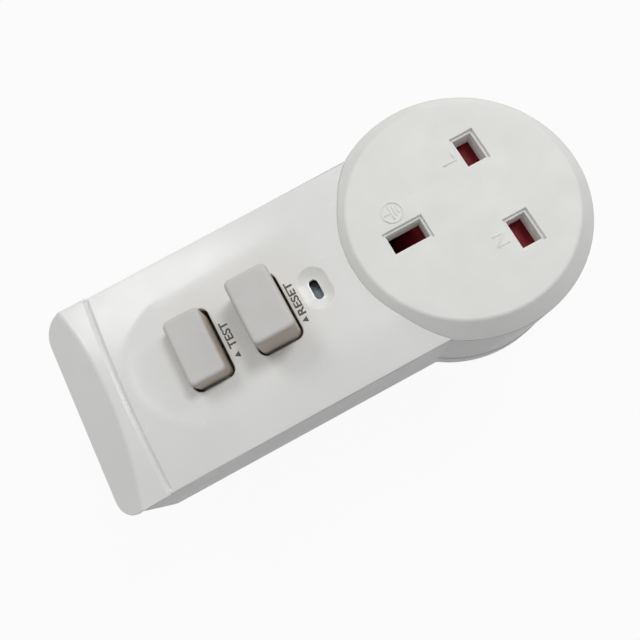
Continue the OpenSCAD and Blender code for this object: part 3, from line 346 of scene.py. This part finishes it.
# painted shade of the joint gaps, laid in the grooves between case pieces
seamShadeBrown = {
    "light": (0.42, 0.34, 0.26), "dark": (0.33, 0.265, 0.2), "blotch": 5.0, "rough": (0.6, 0.8),
    "grain": 0.2, "grainDepth": 0.004, "flow": 2.0, "flowDepth": 0.005,
}
brassPlain = {
    "light": (0.78, 0.60, 0.30), "dark": (0.68, 0.50, 0.23), "streak": 0.25, "stretch": (1, 1, 0.08),
    "rough": (0.22, 0.36), "depth": 0.004,
}
steelBright = {
    "light": (0.62, 0.62, 0.63), "dark": (0.50, 0.50, 0.52), "streak": 0.2, "stretch": (1, 0.15, 1),
    "rough": (0.24, 0.38), "depth": 0.004,
}
coreDull = {
    "light": (0.13, 0.13, 0.14), "dark": (0.09, 0.09, 0.10), "streak": 0.6, "stretch": (1, 1, 1),
    "rough": (0.55, 0.7), "depth": 0.012,
}
coilCopper = {
    "light": (0.62, 0.27, 0.11), "dark": (0.26, 0.09, 0.03), "pitch": 0.45, "along": "X", "waver": 0.4,
    "depth": 0.12, "blotch": 2.0, "rough": (0.25, 0.4), "metal": 0.8,
}
boardGreen = {
    "dark": (0.025, 0.15, 0.065), "light": (0.035, 0.19, 0.085), "track": (0.07, 0.27, 0.12),
    "fieldLength": 5.0, "fieldWidth": 2.6, "trackWidth": 0.35, "depth": 0.03, "blotch": 4.0,
    "rough": (0.2, 0.35),
}

finishes = {
    "cover_white": mouldedPlastic("coverWhite", coverWhite),
    "socket_white": mouldedPlastic("socketWhite", socketWhite),
    "shell_grey": mouldedPlastic("shellGrey", shellGrey),
    "button_grey": mouldedPlastic("buttonGrey", buttonGrey),
    "shutter_red": mouldedPlastic("shutterRed", shutterRed),
    "lens_dark": lensWithPaintedShade("lensPaintedShade", lensPaintedShade),
    "flag_black": mouldedPlastic("flagBlack", flagBlack),
    "sleeve_black": mouldedPlastic("sleeveBlack", sleeveBlack),
    "brass": plainMetal("brassPlain", brassPlain),
    "steel": plainMetal("steelBright", steelBright),
    "copper": woundCopper("coilCopper", coilCopper),
    "core_grey": plainMetal("coreDull", coreDull),
    "ivory_plastic": mouldedPlastic("ivoryPlastic", ivoryPlastic),
    "board_green": lacqueredBoard("boardGreen", boardGreen),
    "wire_brown": mouldedPlastic("brownRubber", brownRubber),
    "wire_blue": mouldedPlastic("blueRubber", blueRubber),
    "component_blue": mouldedPlastic("blueLacquer", blueLacquer),
    "resistor_tan": mouldedPlastic("tanLacquer", tanLacquer),
}
inkFinish = mouldedPlastic("printInk", printInk)
seamShadeFinish = mouldedPlastic("seamShadeBrown", seamShadeBrown)

nodeSlot = {part["node"]: part["material_slot"] for part in frame["record"]["subparts"]}
for name, part in nodes.items():
    part.data.materials.clear()
    part.data.materials.append(finishes[nodeSlot[name]])
print("finishes made:", len(bpy.data.materials))


# pieces made here
def addPiece(name, bm, finish, body):
    mesh = bpy.data.meshes.new(name)
    bm.to_mesh(mesh)
    bm.free()
    mesh.materials.append(finish)
    piece = bpy.data.objects.new(name, mesh)
    scene.collection.objects.link(piece)
    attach(piece, body)
    return piece


# turns between faces, in degrees: below flat they become one face, below sharp their edge isn't rounded,
# and below smooth their shading runs on
turns = {"smooth": 42, "sharp": 12, "flat": 0.2}
mergeNear = 0.002  # points of a solid that lie nearer than this are one
areaWeight = 80


def dress(name, bm, node, body):
    # smooth piece that stands for a node of the solids
    for face in bm.faces:
        face.smooth = True
    for edge in bm.edges:
        edge.smooth = edge.calc_face_angle(0) < math.radians(turns["smooth"])
    slot = nodeSlot[node]
    piece = addPiece(name, bm, finishes[slot], body)
    even = piece.modifiers.new("evenNormals", "WEIGHTED_NORMAL")
    even.mode = "FACE_AREA"
    even.weight = areaWeight
    even.keep_sharp = True
    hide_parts(node)


def mergedCopy(node):
    bm = bmesh.new()
    bm.from_mesh(nodes[node].data)
    bmesh.ops.remove_doubles(bm, verts=bm.verts[:], dist=mergeNear * mm)
    bmesh.ops.dissolve_limit(bm, angle_limit=math.radians(turns["flat"]),
                             verts=bm.verts[:], edges=bm.edges[:])
    return bm


def sharpEdges(bm, test):
    # test gets the edge's middle in millimetres and the Z parts of its two normals, the higher first
    found = []
    for edge in bm.edges:
        if len(edge.link_faces) == 2 and edge.calc_face_angle(0) > math.radians(turns["sharp"]):
            middle = (edge.verts[0].co + edge.verts[1].co) / (2 * mm)
            high, low = sorted((face.normal.z for face in edge.link_faces), reverse=True)
            if test(middle, high, low):
                found.append(edge)
    return found


def roundEdges(bm, edges, width, steps):
    bmesh.ops.bevel(bm, geom=edges, affect="EDGES", offset=width * mm, offset_type="OFFSET",
                    segments=steps, profile=0.5, clamp_overlap=False, material=-1)


def addBox(bm, low, high):
    size = Vector(high) - Vector(low)
    middle = (Vector(high) + Vector(low)) / 2
    place = Matrix.Translation(middle * mm) @ Matrix.Diagonal((*(size * mm), 1))
    bmesh.ops.create_cube(bm, size=1.0, matrix=place)


chinReach = 6  # all that lies this near the end of the chin counts as outside
edgeNear = 0.1  # an edge nearer than this to a face or wall lies on it


def outside(middle, inset=0.3):
    # on the outer wall of the case
    onBody = abs(middle.y) > caseHalf - inset or middle.x < chinX + chinReach
    return math.hypot(middle.x, middle.y) > roundR - inset if middle.x > neckX else onBody


def onRound(middle):
    # on the outer wall of the round end, where the two case halves show a joint
    return middle.x > neckX + edgeNear and outside(middle, edgeNear)


# front cover: the solids' shape with a soft end to the panel, a bowl at the indicator and rounded edges
cover = {
    "crest": 31.2, "crownR": 115.63, "panel": 30.25, "fromX": -83.34,
    "endX": -59.9, "endR": 21.7, "slope": 3.0, "softSlope": 4.6, "slopeCurve": 1.8, "blend": 0.3,
    "lampX": -36.4, "bowlHalf": 1.5, "bowlTop": 3.6, "bowlLow": 1.45, "bowlSlot": 1.05,
    "bowlDepth": 1.3, "bowlCurve": 1.3,
    "grooveX": -84.0, "grooveHalf": 0.65, "grooveDepth": 0.55, "grooveFloor": -83.7,
    "chinLean": 0.22, "panelLean": 0.4, "grooveEnd": 22.75, "grooveOut": 23.75,
}
coverRounds = {
    "ridge": 0.5, "lip": 0.22, "step": 0.08, "rim": 0.25, "window": 0.3, "seat": 0.12, "seam": 0.13,
}
coverParts = {"ridgeTo": -86, "windowsTo": -42, "windowsHalf": 9, "panelNear": 0.02, "seatFrom": -32}
# how near a point or edge lies to count as part of the groove, and how far off an edge is clear of it
grooveNear = {"end": 0.02, "side": 0.3, "top": 0.3, "depth": 0.1, "floor": 0.25, "edge": 0.03, "clear": 0.05}
# faces that look up and lie on the solids' top are cut into a grid, finer round the bowl
topGrid = {"facing": 0.8, "near": 0.008, "x": (-83, -56), "y": (-18, 18), "step": 0.75}
bowlGrid = {"margin": 0.3, "y": (-5.4, 5.4), "near": 5.6, "step": 0.3}


def smoothMin(a, b, width):
    share = max(width - abs(a - b), 0) / width
    return min(a, b) - share * share * width / 4


def crownAt(y):
    return cover["crest"] - cover["crownR"] + math.sqrt(cover["crownR"] ** 2 - y * y)


def coverHeight(x, y, soft):
    crown = crownAt(y)
    rise = cover["crest"] - cover["panel"]
    far = math.hypot(x - cover["endX"], y) if x < cover["endX"] else 0
    slope = cover["softSlope"] if soft else cover["slope"]
    climb = max(0, (far - cover["endR"]) / slope + 1)
    if soft:
        height = smoothMin(crown, cover["panel"] + rise * climb ** cover["slopeCurve"], cover["blend"])
    else:
        height = min(crown, cover["panel"] + rise * climb)
    out = math.hypot(x - cover["lampX"], max(0, abs(y) - cover["bowlHalf"]))
    low = cover["bowlSlot"] if soft else cover["bowlLow"]
    share = (out - low) / (cover["bowlTop"] - low)
    if share < 1:
        curve = cover["bowlCurve"] if soft else 1
        height = cover["panel"] - cover["bowlDepth"] * (1 - max(share, 0) ** curve)
    return height


# windows of the cover: the solids' half sizes, and how far the walls lie back from them, towards +X and
# at both ends along Y
windows = {
    "reset": {"x": -48.6, "half": (5.3, 8.15), "right": 0.1, "ends": 0.25},
    "test": {"x": -65.2, "half": (4.75, 8.3), "right": 0.42, "ends": 0.3},
}
windowCorner = {"slack": 0.05, "fromMiddle": 2, "fromEnd": 2.2}  # which points of a window belong to a wall


def easeWindow(bm, spec):
    halfX, halfY = spec["half"]
    slack = windowCorner["slack"]
    for v in bm.verts:
        x, y, z = v.co / mm
        inside = abs(x - spec["x"]) < halfX + slack and abs(y) < halfY + slack
        if inside and z > coverLow.z:
            if x > spec["x"] + windowCorner["fromMiddle"]:
                v.co.x += spec["right"] * mm
            if abs(y) > halfY - windowCorner["fromEnd"]:
                v.co.y += math.copysign(spec["ends"], y) * mm


def runOutGroove(bm):
    # the upper edge of each end wall moves out to the rim, so that the groove runs out there
    for v in bm.verts:
        x, y, z = v.co / mm
        atEnd = abs(abs(y) - cover["grooveEnd"]) < grooveNear["end"]
        atSide = abs(x - cover["grooveX"]) < cover["grooveHalf"] + grooveNear["side"]
        if atEnd and atSide and z > crownAt(y) - grooveNear["top"]:
            out = math.copysign(cover["grooveOut"], y)
            v.co.y = out * mm
            v.co.z = (z + crownAt(out) - crownAt(y)) * mm


def leanGroove(bm):
    # the bottom of the groove moves towards the chin, so that the side next to the panel slopes
    for v in bm.verts:
        x, y, z = v.co / mm
        atBottom = abs(crownAt(y) - z - cover["grooveDepth"]) < grooveNear["depth"]
        if atBottom and abs(x - cover["grooveFloor"]) < grooveNear["floor"]:
            lean = cover["chinLean"] if x < cover["grooveFloor"] else cover["panelLean"]
            v.co.x -= lean * mm


def cutTop(bm, top, axis, start, stop, step, near):
    across = Vector((1, 0, 0)) if axis == 0 else Vector((0, 1, 0))
    for i in range(int(round((stop - start) / step)) + 1):
        faces = [f for f in bm.faces if f[top] and near(f.calc_center_median() / mm)]
        parts = set(faces)
        for face in faces:
            parts.update(face.edges)
            parts.update(face.verts)
        bmesh.ops.bisect_plane(bm, geom=list(parts), dist=0.001 * mm,
                               plane_co=across * (start + i * step) * mm, plane_no=across)


def softenTop(bm):
    # the top is cut into a grid where it is softened, and each point takes its new height
    top = bm.faces.layers.int.new("top")
    for face in bm.faces:
        corners = [v.co / mm for v in face.verts]
        if face.normal.z > topGrid["facing"] and min(c.x for c in corners) > cover["fromX"]:
            off = max(abs(c.z - coverHeight(c.x, c.y, False)) for c in corners)
            face[top] = int(off < topGrid["near"])
    lampX, bowl = cover["lampX"], cover["bowlTop"] + bowlGrid["margin"]

    def anywhere(c):
        return True

    def nearBowl(c):
        return abs(c.x - lampX) < bowl and abs(c.y) < bowlGrid["near"]

    cutTop(bm, top, 0, *topGrid["x"], topGrid["step"], anywhere)
    cutTop(bm, top, 1, *topGrid["y"], topGrid["step"], anywhere)
    cutTop(bm, top, 0, lampX - bowl, lampX + bowl, bowlGrid["step"], nearBowl)
    cutTop(bm, top, 1, *bowlGrid["y"], bowlGrid["step"], nearBowl)
    for v in {v for face in bm.faces if face[top] for v in face.verts}:
        v.co.z = coverHeight(v.co.x / mm, v.co.y / mm, True) * mm


def offGroove(m):
    return abs(m.x - cover["grooveX"]) > cover["grooveHalf"] + grooveNear["clear"]


def onGrooveSide(m, side):
    # side is -1 for the edge next to the chin and 1 for the one next to the panel
    return abs(m.x - cover["grooveX"] - side * cover["grooveHalf"]) < grooveNear["edge"]


def onWindow(m):
    inField = m.x < coverParts["windowsTo"] and abs(m.y) < coverParts["windowsHalf"]
    return inField and abs(m.z - cover["panel"]) < coverParts["panelNear"]


def addCover():
    bm = mergedCopy("front_cover")
    for spec in windows.values():
        easeWindow(bm, spec)
    # an edge's kind shows in its place and in how far up the faces beside it look
    groups = [
        ("ridge", 4, lambda m, high, low: m.x < coverParts["ridgeTo"] and high > 0.95 and 0.8 < low < 0.88),
        ("lip", 3, lambda m, high, low: onGrooveSide(m, -1) and high > 0.95 and low > 0.7),
        ("step", 2, lambda m, high, low: onGrooveSide(m, 1) and high > 0.95 and low > 0),
        ("rim", 3, lambda m, high, low: outside(m) and offGroove(m) and high > 0.79 and abs(low) < 0.3),
        ("window", 3, lambda m, high, low: onWindow(m) and high > 0.99 and abs(low) < 0.05),
        ("seat", 2, lambda m, high, low: m.x > coverParts["seatFrom"] and high > 0.9 and -0.8 < low < -0.6),
        ("seam", 2, lambda m, high, low: outside(m, edgeNear) and offGroove(m)
            and abs(high) < 0.3 and low < -0.7),
    ]
    for kind, steps, test in groups:
        roundEdges(bm, sharpEdges(bm, test), coverRounds[kind], steps)
    runOutGroove(bm)
    leanGroove(bm)
    softenTop(bm)
    dress("coverShell", bm, "front_cover", "case")


addCover()
print("front cover dressed")

# socket face, housing, rear cover and shutter: the solids' shape with rounded edges
openings = [(-13.35, 0), (8.85, 11.1), (8.85, -11.1)]  # middles of the earth, live and neutral openings
openingReach = 5
recess = (0.6, 0.8)  # depths under the socket face between which the step in each opening lies
faceEdge = 24  # the round edge of the socket face lies farther out, and the openings nearer
upperFrom = {"housing": 20, "shutter": 15}  # heights above which an edge is an upper one


def fromAxis(m):
    return math.hypot(m.x, m.y)


def onFace(m):
    return m.z > faceTop - edgeNear


def onRecess(m):
    near = min(math.hypot(m.x - x, m.y - y) for x, y in openings) < openingReach
    return near and recess[0] < faceTop - m.z < recess[1]


# each round has its width, its steps and the test for its edges
shells = {
    "socketShell": {"node": "socket_face", "body": "case", "rounds": [
        (0.45, 4, lambda m, high, low: onFace(m) and fromAxis(m) > faceEdge),
        (0.1, 2, lambda m, high, low: onFace(m) and fromAxis(m) < faceEdge),
        (0.08, 2, lambda m, high, low: onRecess(m) and high > 0.9 and abs(low) < 0.1),
        (0.13, 2, lambda m, high, low: abs(m.z - seamZ) < edgeNear and fromAxis(m) > roundR - 0.3)]},
    "housingShell": {"node": "housing", "body": "case", "rounds": [
        (0.13, 2, lambda m, high, low: m.z > upperFrom["housing"] and outside(m, edgeNear)
            and high > 0.7 and abs(low) < 0.3),
        (0.13, 2, lambda m, high, low: m.z < rearHigh + edgeNear and onRound(m) and low < -0.7)]},
    "rearShell": {"node": "rear_cover", "body": "case", "rounds": [
        (0.13, 2, lambda m, high, low: m.z > rearHigh - edgeNear and onRound(m) and high > 0.7),
        (0.18, 3, lambda m, high, low: m.z < edgeNear and outside(m, 0) and low < -0.7),
        (0.2, 2, lambda m, high, low: m.z < edgeNear and not outside(m, 0) and low < -0.7)]},
    "shutterSlide": {"node": "shutter", "body": "shutter", "rounds": [
        (0.2, 2, lambda m, high, low: m.z > upperFrom["shutter"] and high > 0.7 and abs(low) < 0.3)]},
}


def addShell(name, spec):
    bm = mergedCopy(spec["node"])
    for width, steps, test in spec["rounds"]:
        roundEdges(bm, sharpEdges(bm, test), width, steps)
    dress(name, bm, spec["node"], spec["body"])


for name, spec in shells.items():
    addShell(name, spec)
print("shells dressed:", len(shells))

# indicator lens: the solids' plate, with its nose sunk into a pocket under the slot
lens = {"node": "indicator_lens", "plateTop": 28.26, "pocket": 27.5}


def addLens(spec):
    bm = mergedCopy(spec["node"])
    for v in bm.verts:
        if v.co.z > spec["plateTop"] * mm:
            v.co.z = spec["pocket"] * mm
    dress("lensPlate", bm, spec["node"], "case")


addLens(lens)
print("lens made")

# button caps: hollow, with round corners, side flanges and a stem
caps = {
    "resetCap": {"node": "reset_button", "body": "reset", "stem": 1.6, "corner": 1.3, "edge": 0.95},
    "testCap": {"node": "test_button", "body": "test", "stem": 1.4, "corner": 1.3, "edge": 0.95},
}
capShape = {
    "flangeOut": 1.45, "flangeLow": 26.45, "flangeTop": 27.95, "flangeIn": 1.2, "wall": 0.9,
    "steps": 6, "stemSides": 32,
}


def addCap(name, spec):
    low, high = spot(spec["node"])
    halfY = high.y - capShape["flangeOut"]
    bm = bmesh.new()
    addBox(bm, (low.x, -halfY, capShape["flangeLow"]), (high.x, halfY, high.z))
    upright = [e for e in bm.edges if abs(e.verts[0].co.z - e.verts[1].co.z) > mm]
    roundEdges(bm, upright, spec["corner"], capShape["steps"])
    lid = max(bm.faces, key=lambda face: face.calc_center_median().z)
    roundEdges(bm, lid.edges[:], spec["edge"], capShape["steps"])
    bmesh.ops.delete(bm, geom=[f for f in bm.faces if f.normal.z < -0.9], context="FACES_ONLY")
    bmesh.ops.solidify(bm, geom=bm.faces[:], thickness=capShape["wall"] * mm)
    addBox(bm, (low.x + capShape["flangeIn"], low.y, capShape["flangeLow"]),
           (high.x - capShape["flangeIn"], high.y, capShape["flangeTop"]))
    stemTop = high.z - capShape["wall"] / 2
    stemMiddle = Vector(((low.x + high.x) / 2, 0, (stemTop + low.z) / 2))
    bmesh.ops.create_cone(bm, cap_ends=True, segments=capShape["stemSides"],
                          radius1=spec["stem"] * mm, radius2=spec["stem"] * mm,
                          depth=(stemTop - low.z) * mm, matrix=Matrix.Translation(stemMiddle * mm))
    dress(name, bm, spec["node"], spec["body"])


for name, spec in caps.items():
    addCap(name, spec)
print("caps made:", len(caps))

# joint lines: a thin dark strip low in the groove where two case pieces meet, painted shade that stands in
# for the shade of the gap between them
seamShadeLine = {"sink": 0.05, "half": 0.1, "back": 0.4, "steps": 96}
rearShort = 1  # degrees by which each end of the rear cover's line stops short of the neck


def addSeamBar(bm, x0, x1, side, z):
    outer = caseHalf - seamShadeLine["sink"]
    ys = sorted((side * outer, side * (outer - seamShadeLine["back"])))
    addBox(bm, (x0, ys[0], z - seamShadeLine["half"]), (x1, ys[1], z + seamShadeLine["half"]))


def addSeamRing(bm, radius, z, half):
    # half is the angle from +X to each end of the ring, in degrees
    outer = radius - seamShadeLine["sink"]
    inner = outer - seamShadeLine["back"]
    corners = [(inner, -1), (outer, -1), (outer, 1), (inner, 1)]
    turn = Matrix.Rotation(math.radians(-half), 4, "Z")
    ring = [bm.verts.new(turn @ Vector((r * mm, 0, (z + s * seamShadeLine["half"]) * mm))) for r, s in corners]
    face = bm.faces.new(ring)
    bmesh.ops.spin(bm, geom=[face] + face.edges[:] + ring, cent=(0, 0, z * mm), axis=(0, 0, 1),
                   angle=math.radians(2 * half), steps=seamShadeLine["steps"],
                   use_merge=False, use_duplicate=False)


def addJointShadeLines():
    neckTurn = math.degrees(math.atan2(caseHalf, neckX))
    bm = bmesh.new()
    for side in (-1, 1):
        addSeamBar(bm, cover["grooveX"], neckX, side, seamZ)
    addSeamRing(bm, roundR, seamZ, neckTurn)
    addSeamRing(bm, roundR, rearHigh, neckTurn - rearShort)
    bmesh.ops.recalc_face_normals(bm, faces=bm.faces[:])
    addPiece("jointShadeLines", bm, seamShadeFinish, "case")


addJointShadeLines()
print("joint lines made")

# springs: smooth copies of the solids' coils; each lists its joint, its axis, where its fixed end lies along
# the axis and the travel of its joint, which this script doesn't use
springs = {
    "resetCoil": {"node": "reset_spring", "joint": "reset_press", "axis": (0, 0, 1),
                  "fixed": 22.45, "travel": 3.5},
    "testCoil": {"node": "test_spring", "joint": "test_press", "axis": (0, 0, 1),
                 "fixed": 22.45, "travel": 2.0},
    "carriageCoil": {"node": "carriage_spring", "joint": "carriage_drop", "axis": (0, 0, 1),
                     "fixed": 7.6, "travel": 3.5},
    "shutterCoil": {"node": "shutter_spring", "joint": "shutter_slide", "axis": (1, 0, 0),
                    "fixed": 21.5, "travel": 6.0},
    "plungerCoil": {"node": "plunger_spring", "joint": "plunger_pull", "axis": (1, 0, 0),
                    "fixed": -78.5, "travel": 1.2},
}


def addSpring(name, spec):
    bm = mergedCopy(spec["node"])
    for face in bm.faces:
        face.smooth = True
    slot = nodeSlot[spec["node"]]
    coil = addPiece(name, bm, finishes[slot], "case")
    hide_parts(spec["node"])
    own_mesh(coil)


for name, spec in springs.items():
    addSpring(name, spec)
print("springs made:", len(springs))

# printed words and arrows on the button panel
printing = {
    "testWord": {"text": "TEST", "x": (-59.2, -57.3), "y": (-3.15, 3.25)},
    "resetWord": {"text": "RESET", "x": (-42.55, -40.75), "y": (-3.98, 4.25)},
    "testArrow": {"x": (-59.0, -57.7), "y": (-5.7, -4.25)},
    "resetArrow": {"x": (-42.5, -41.2), "y": (-6.0, -4.6)},
}
ink = {"height": 0.03, "sink": 0.01, "bold": 0.026, "curveSteps": 6, "mergeNear": 0.0005}
inkLow = cover["panel"] - ink["sink"]


def addWord(name, spec):
    curve = bpy.data.curves.new(name, "FONT")
    curve.body = spec["text"]
    curve.offset = ink["bold"]
    curve.resolution_u = ink["curveSteps"]
    curve.extrude = 0.01  # any thickness, since the word is fitted to its place below
    holder = bpy.data.objects.new(name + "Curve", curve)
    scene.collection.objects.link(holder)
    bpy.context.view_layer.update()
    mesh = bpy.data.meshes.new_from_object(holder.evaluated_get(bpy.context.evaluated_depsgraph_get()))
    bpy.data.objects.remove(holder)
    bm = bmesh.new()
    bm.from_mesh(mesh)
    low = [min(v.co[i] for v in bm.verts) for i in range(3)]
    high = [max(v.co[i] for v in bm.verts) for i in range(3)]
    for v in bm.verts:
        across, along, rise = [(v.co[i] - low[i]) / (high[i] - low[i]) for i in range(3)]
        v.co = Vector((spec["x"][1] + along * (spec["x"][0] - spec["x"][1]),
                       spec["y"][0] + across * (spec["y"][1] - spec["y"][0]),
                       inkLow + rise * ink["height"])) * mm
    bmesh.ops.remove_doubles(bm, verts=bm.verts[:], dist=ink["mergeNear"] * mm)
    addPiece(name, bm, inkFinish, "case")


def addArrow(name, spec):
    bm = bmesh.new()
    middle = (spec["y"][0] + spec["y"][1]) / 2
    corners = [(spec["x"][1], spec["y"][0]), (spec["x"][1], spec["y"][1]), (spec["x"][0], middle)]
    face = bm.faces.new([bm.verts.new((x * mm, y * mm, inkLow * mm)) for x, y in corners])
    grown = bmesh.ops.extrude_face_region(bm, geom=[face])
    bmesh.ops.translate(bm, vec=(0, 0, ink["height"] * mm),
                        verts=[v for v in grown["geom"] if isinstance(v, bmesh.types.BMVert)])
    bmesh.ops.recalc_face_normals(bm, faces=bm.faces[:])
    addPiece(name, bm, inkFinish, "case")


for name, spec in printing.items():
    if "text" in spec:
        addWord(name, spec)
    else:
        addArrow(name, spec)
print("printing placed:", len(printing))

# moulded marks on the socket face: thin raised lines, and the faint ring of an ejector pin
moulded = {"line": 0.46, "height": 0.2, "sink": 0.03, "round": 0.11, "drop": 0.012, "ringSteps": 48}
marks = {
    "liveMark": [((1.7, 10.25), (4.7, 10.25)), ((4.7, 10.25), (4.7, 11.9))],
    "neutralMark": [((2.0, -11.9), (4.5, -11.9)), ((2.0, -11.9), (4.5, -9.5)),
                    ((2.0, -9.5), (4.5, -9.5))],
}
earthMark = {
    "centre": (-13.7, 6.4), "ring": 2.4,
    "bars": [((-15.6, 6.4), (-13.9, 6.4)), ((-13.9, 4.9), (-13.9, 7.9)),
             ((-13.1, 5.3), (-13.1, 7.5)), ((-12.3, 5.75), (-12.3, 7.05))],
}
pinMark = {"centre": (-9.6, 7.9), "ring": 1.9, "line": 0.16, "height": 0.05}


def addRidge(bm, start, stop, line, height):
    a, b = Vector(start), Vector(stop)
    run = b - a
    turn = Matrix.Rotation(math.atan2(run.y, run.x), 4, "Z")
    size = Matrix.Diagonal(((run.length + line) * mm, line * mm, height * mm, 1))
    middle = (a + b) / 2
    place = Matrix.Translation(Vector((*middle, faceTop + height / 2 - moulded["sink"])) * mm)
    bmesh.ops.create_cube(bm, size=1.0, matrix=place @ turn @ size)


def addStrokes(bm, strokes):
    # each stroke is a little lower than the last, so that no two tops lie in one plane
    for i, (start, stop) in enumerate(strokes):
        addRidge(bm, start, stop, moulded["line"], moulded["height"] - i * moulded["drop"])


def addRing(bm, centre, radius, line, height):
    x, y = centre
    low = faceTop - moulded["sink"]
    inner, outer = radius - line / 2, radius + line / 2
    profile = [(inner, low), (outer, low), (outer, low + height), (inner, low + height)]
    ring = [bm.verts.new(((x + r) * mm, y * mm, z * mm)) for r, z in profile]
    edges = [bm.edges.new((ring[i], ring[(i + 1) % 4])) for i in range(4)]
    bmesh.ops.spin(bm, geom=ring + edges, cent=(x * mm, y * mm, faceTop * mm), axis=(0, 0, 1),
                   angle=2 * math.pi, steps=moulded["ringSteps"], use_merge=True, use_duplicate=False)
    bmesh.ops.recalc_face_normals(bm, faces=bm.faces[:])


def finishMark(name, bm):
    for face in bm.faces:
        face.smooth = True
    piece = addPiece(name, bm, finishes["socket_white"], "case")
    soft = piece.modifiers.new("softEdge", "BEVEL")
    soft.width = moulded["round"] * mm
    soft.segments = 2
    soft.limit_method = "ANGLE"


def addMarks():
    for name, strokes in marks.items():
        bm = bmesh.new()
        addStrokes(bm, strokes)
        finishMark(name, bm)
    bm = bmesh.new()
    addStrokes(bm, earthMark["bars"])
    addRing(bm, earthMark["centre"], earthMark["ring"], moulded["line"], moulded["height"])
    finishMark("earthMark", bm)
    bm = bmesh.new()
    addRing(bm, pinMark["centre"], pinMark["ring"], pinMark["line"], pinMark["height"])
    finishMark("pinMark", bm)


addMarks()
print("moulded marks placed")

# floor, light and background: floorZ in millimetres, floorSize and the lamps' size in metres
stage = {"floorZ": -22.8, "floorSize": 3.0, "floorTone": (0.5, 0.49, 0.48), "floorGlow": 0.94}
sky = {"tone": (0.985, 0.99, 1.0), "strength": 0.33}
# each lamp stands round the middle of the case: turn from +X towards +Y and rise, both in degrees
lampRing = {"middle": (-33, 0, 25), "far": 800, "tone": (1.0, 0.995, 0.985)}
lamps = {
    "highLamp": {"turn": 29, "rise": 60, "size": 0.26, "power": 2.08},
    "lowLamp": {"turn": 20, "rise": 25, "size": 0.3, "power": 0.7},
    "sideLamp": {"turn": 110, "rise": 47, "size": 0.32, "power": 1.35},
    "fillLamp": {"turn": 235, "rise": 30, "size": 0.5, "power": 0.32},
}


def seenRay(tree):
    # 1 for rays from the camera, from a reflection or through glass
    path = tree.nodes.new("ShaderNodeLightPath")
    first = tree.nodes.new("ShaderNodeMath")
    first.operation = "MAXIMUM"
    second = tree.nodes.new("ShaderNodeMath")
    second.operation = "MAXIMUM"
    tree.links.new(path.outputs["Is Camera Ray"], first.inputs[0])
    tree.links.new(path.outputs["Is Glossy Ray"], first.inputs[1])
    tree.links.new(first.outputs[0], second.inputs[0])
    tree.links.new(path.outputs["Is Transmission Ray"], second.inputs[1])
    return second.outputs[0]


def paleFloor(spec):
    mat = bpy.data.materials.new("floorPale")
    mat.use_nodes = True
    tree = mat.node_tree
    tree.nodes.clear()
    out = tree.nodes.new("ShaderNodeOutputMaterial")
    dull = tree.nodes.new("ShaderNodeBsdfDiffuse")
    dull.inputs["Color"].default_value = (*spec["floorTone"], 1)
    glow = tree.nodes.new("ShaderNodeEmission")
    glow.inputs["Color"].default_value = (1, 1, 1, 1)
    glow.inputs["Strength"].default_value = 1.0
    share = tree.nodes.new("ShaderNodeMath")
    share.operation = "MULTIPLY"
    share.inputs[1].default_value = spec["floorGlow"]
    tree.links.new(seenRay(tree), share.inputs[0])
    mix = tree.nodes.new("ShaderNodeMixShader")
    tree.links.new(share.outputs[0], mix.inputs["Fac"])
    tree.links.new(dull.outputs[0], mix.inputs[1])
    tree.links.new(glow.outputs[0], mix.inputs[2])
    tree.links.new(mix.outputs[0], out.inputs["Surface"])
    return mat


def addFloor(spec):
    bm = bmesh.new()
    bmesh.ops.create_grid(bm, x_segments=1, y_segments=1, size=spec["floorSize"] / 2,
                          matrix=Matrix.Translation((0, 0, spec["floorZ"] * mm)))
    mesh = bpy.data.meshes.new("floor")
    bm.to_mesh(mesh)
    bm.free()
    mesh.materials.append(paleFloor(spec))
    floor = bpy.data.objects.new("floor", mesh)
    scene.collection.objects.link(floor)


def addSky(spec):
    world = bpy.data.worlds.new("studio")
    scene.world = world
    world.use_nodes = True
    tree = world.node_tree
    tree.nodes.clear()
    out = tree.nodes.new("ShaderNodeOutputWorld")
    dome = tree.nodes.new("ShaderNodeBackground")
    dome.inputs["Color"].default_value = (*spec["tone"], 1)
    dome.inputs["Strength"].default_value = spec["strength"]
    white = tree.nodes.new("ShaderNodeBackground")
    white.inputs["Color"].default_value = (1, 1, 1, 1)
    white.inputs["Strength"].default_value = 1.0
    mix = tree.nodes.new("ShaderNodeMixShader")
    tree.links.new(seenRay(tree), mix.inputs["Fac"])
    tree.links.new(dome.outputs[0], mix.inputs[1])
    tree.links.new(white.outputs[0], mix.inputs[2])
    tree.links.new(mix.outputs[0], out.inputs["Surface"])


def addLamp(name, spec):
    lamp = bpy.data.lights.new(name, "AREA")
    lamp.shape = "DISK"
    lamp.size = spec["size"]
    lamp.energy = spec["power"]
    lamp.color = lampRing["tone"]
    holder = bpy.data.objects.new(name, lamp)
    scene.collection.objects.link(holder)
    turn, rise = math.radians(spec["turn"]), math.radians(spec["rise"])
    out = Vector((math.cos(turn) * math.cos(rise), math.sin(turn) * math.cos(rise), math.sin(rise)))
    holder.location = (Vector(lampRing["middle"]) + out * lampRing["far"]) * mm
    holder.rotation_euler = out.to_track_quat("Z", "Y").to_euler()


addFloor(stage)
addSky(sky)
for name, spec in lamps.items():
    addLamp(name, spec)
print("stage lit")
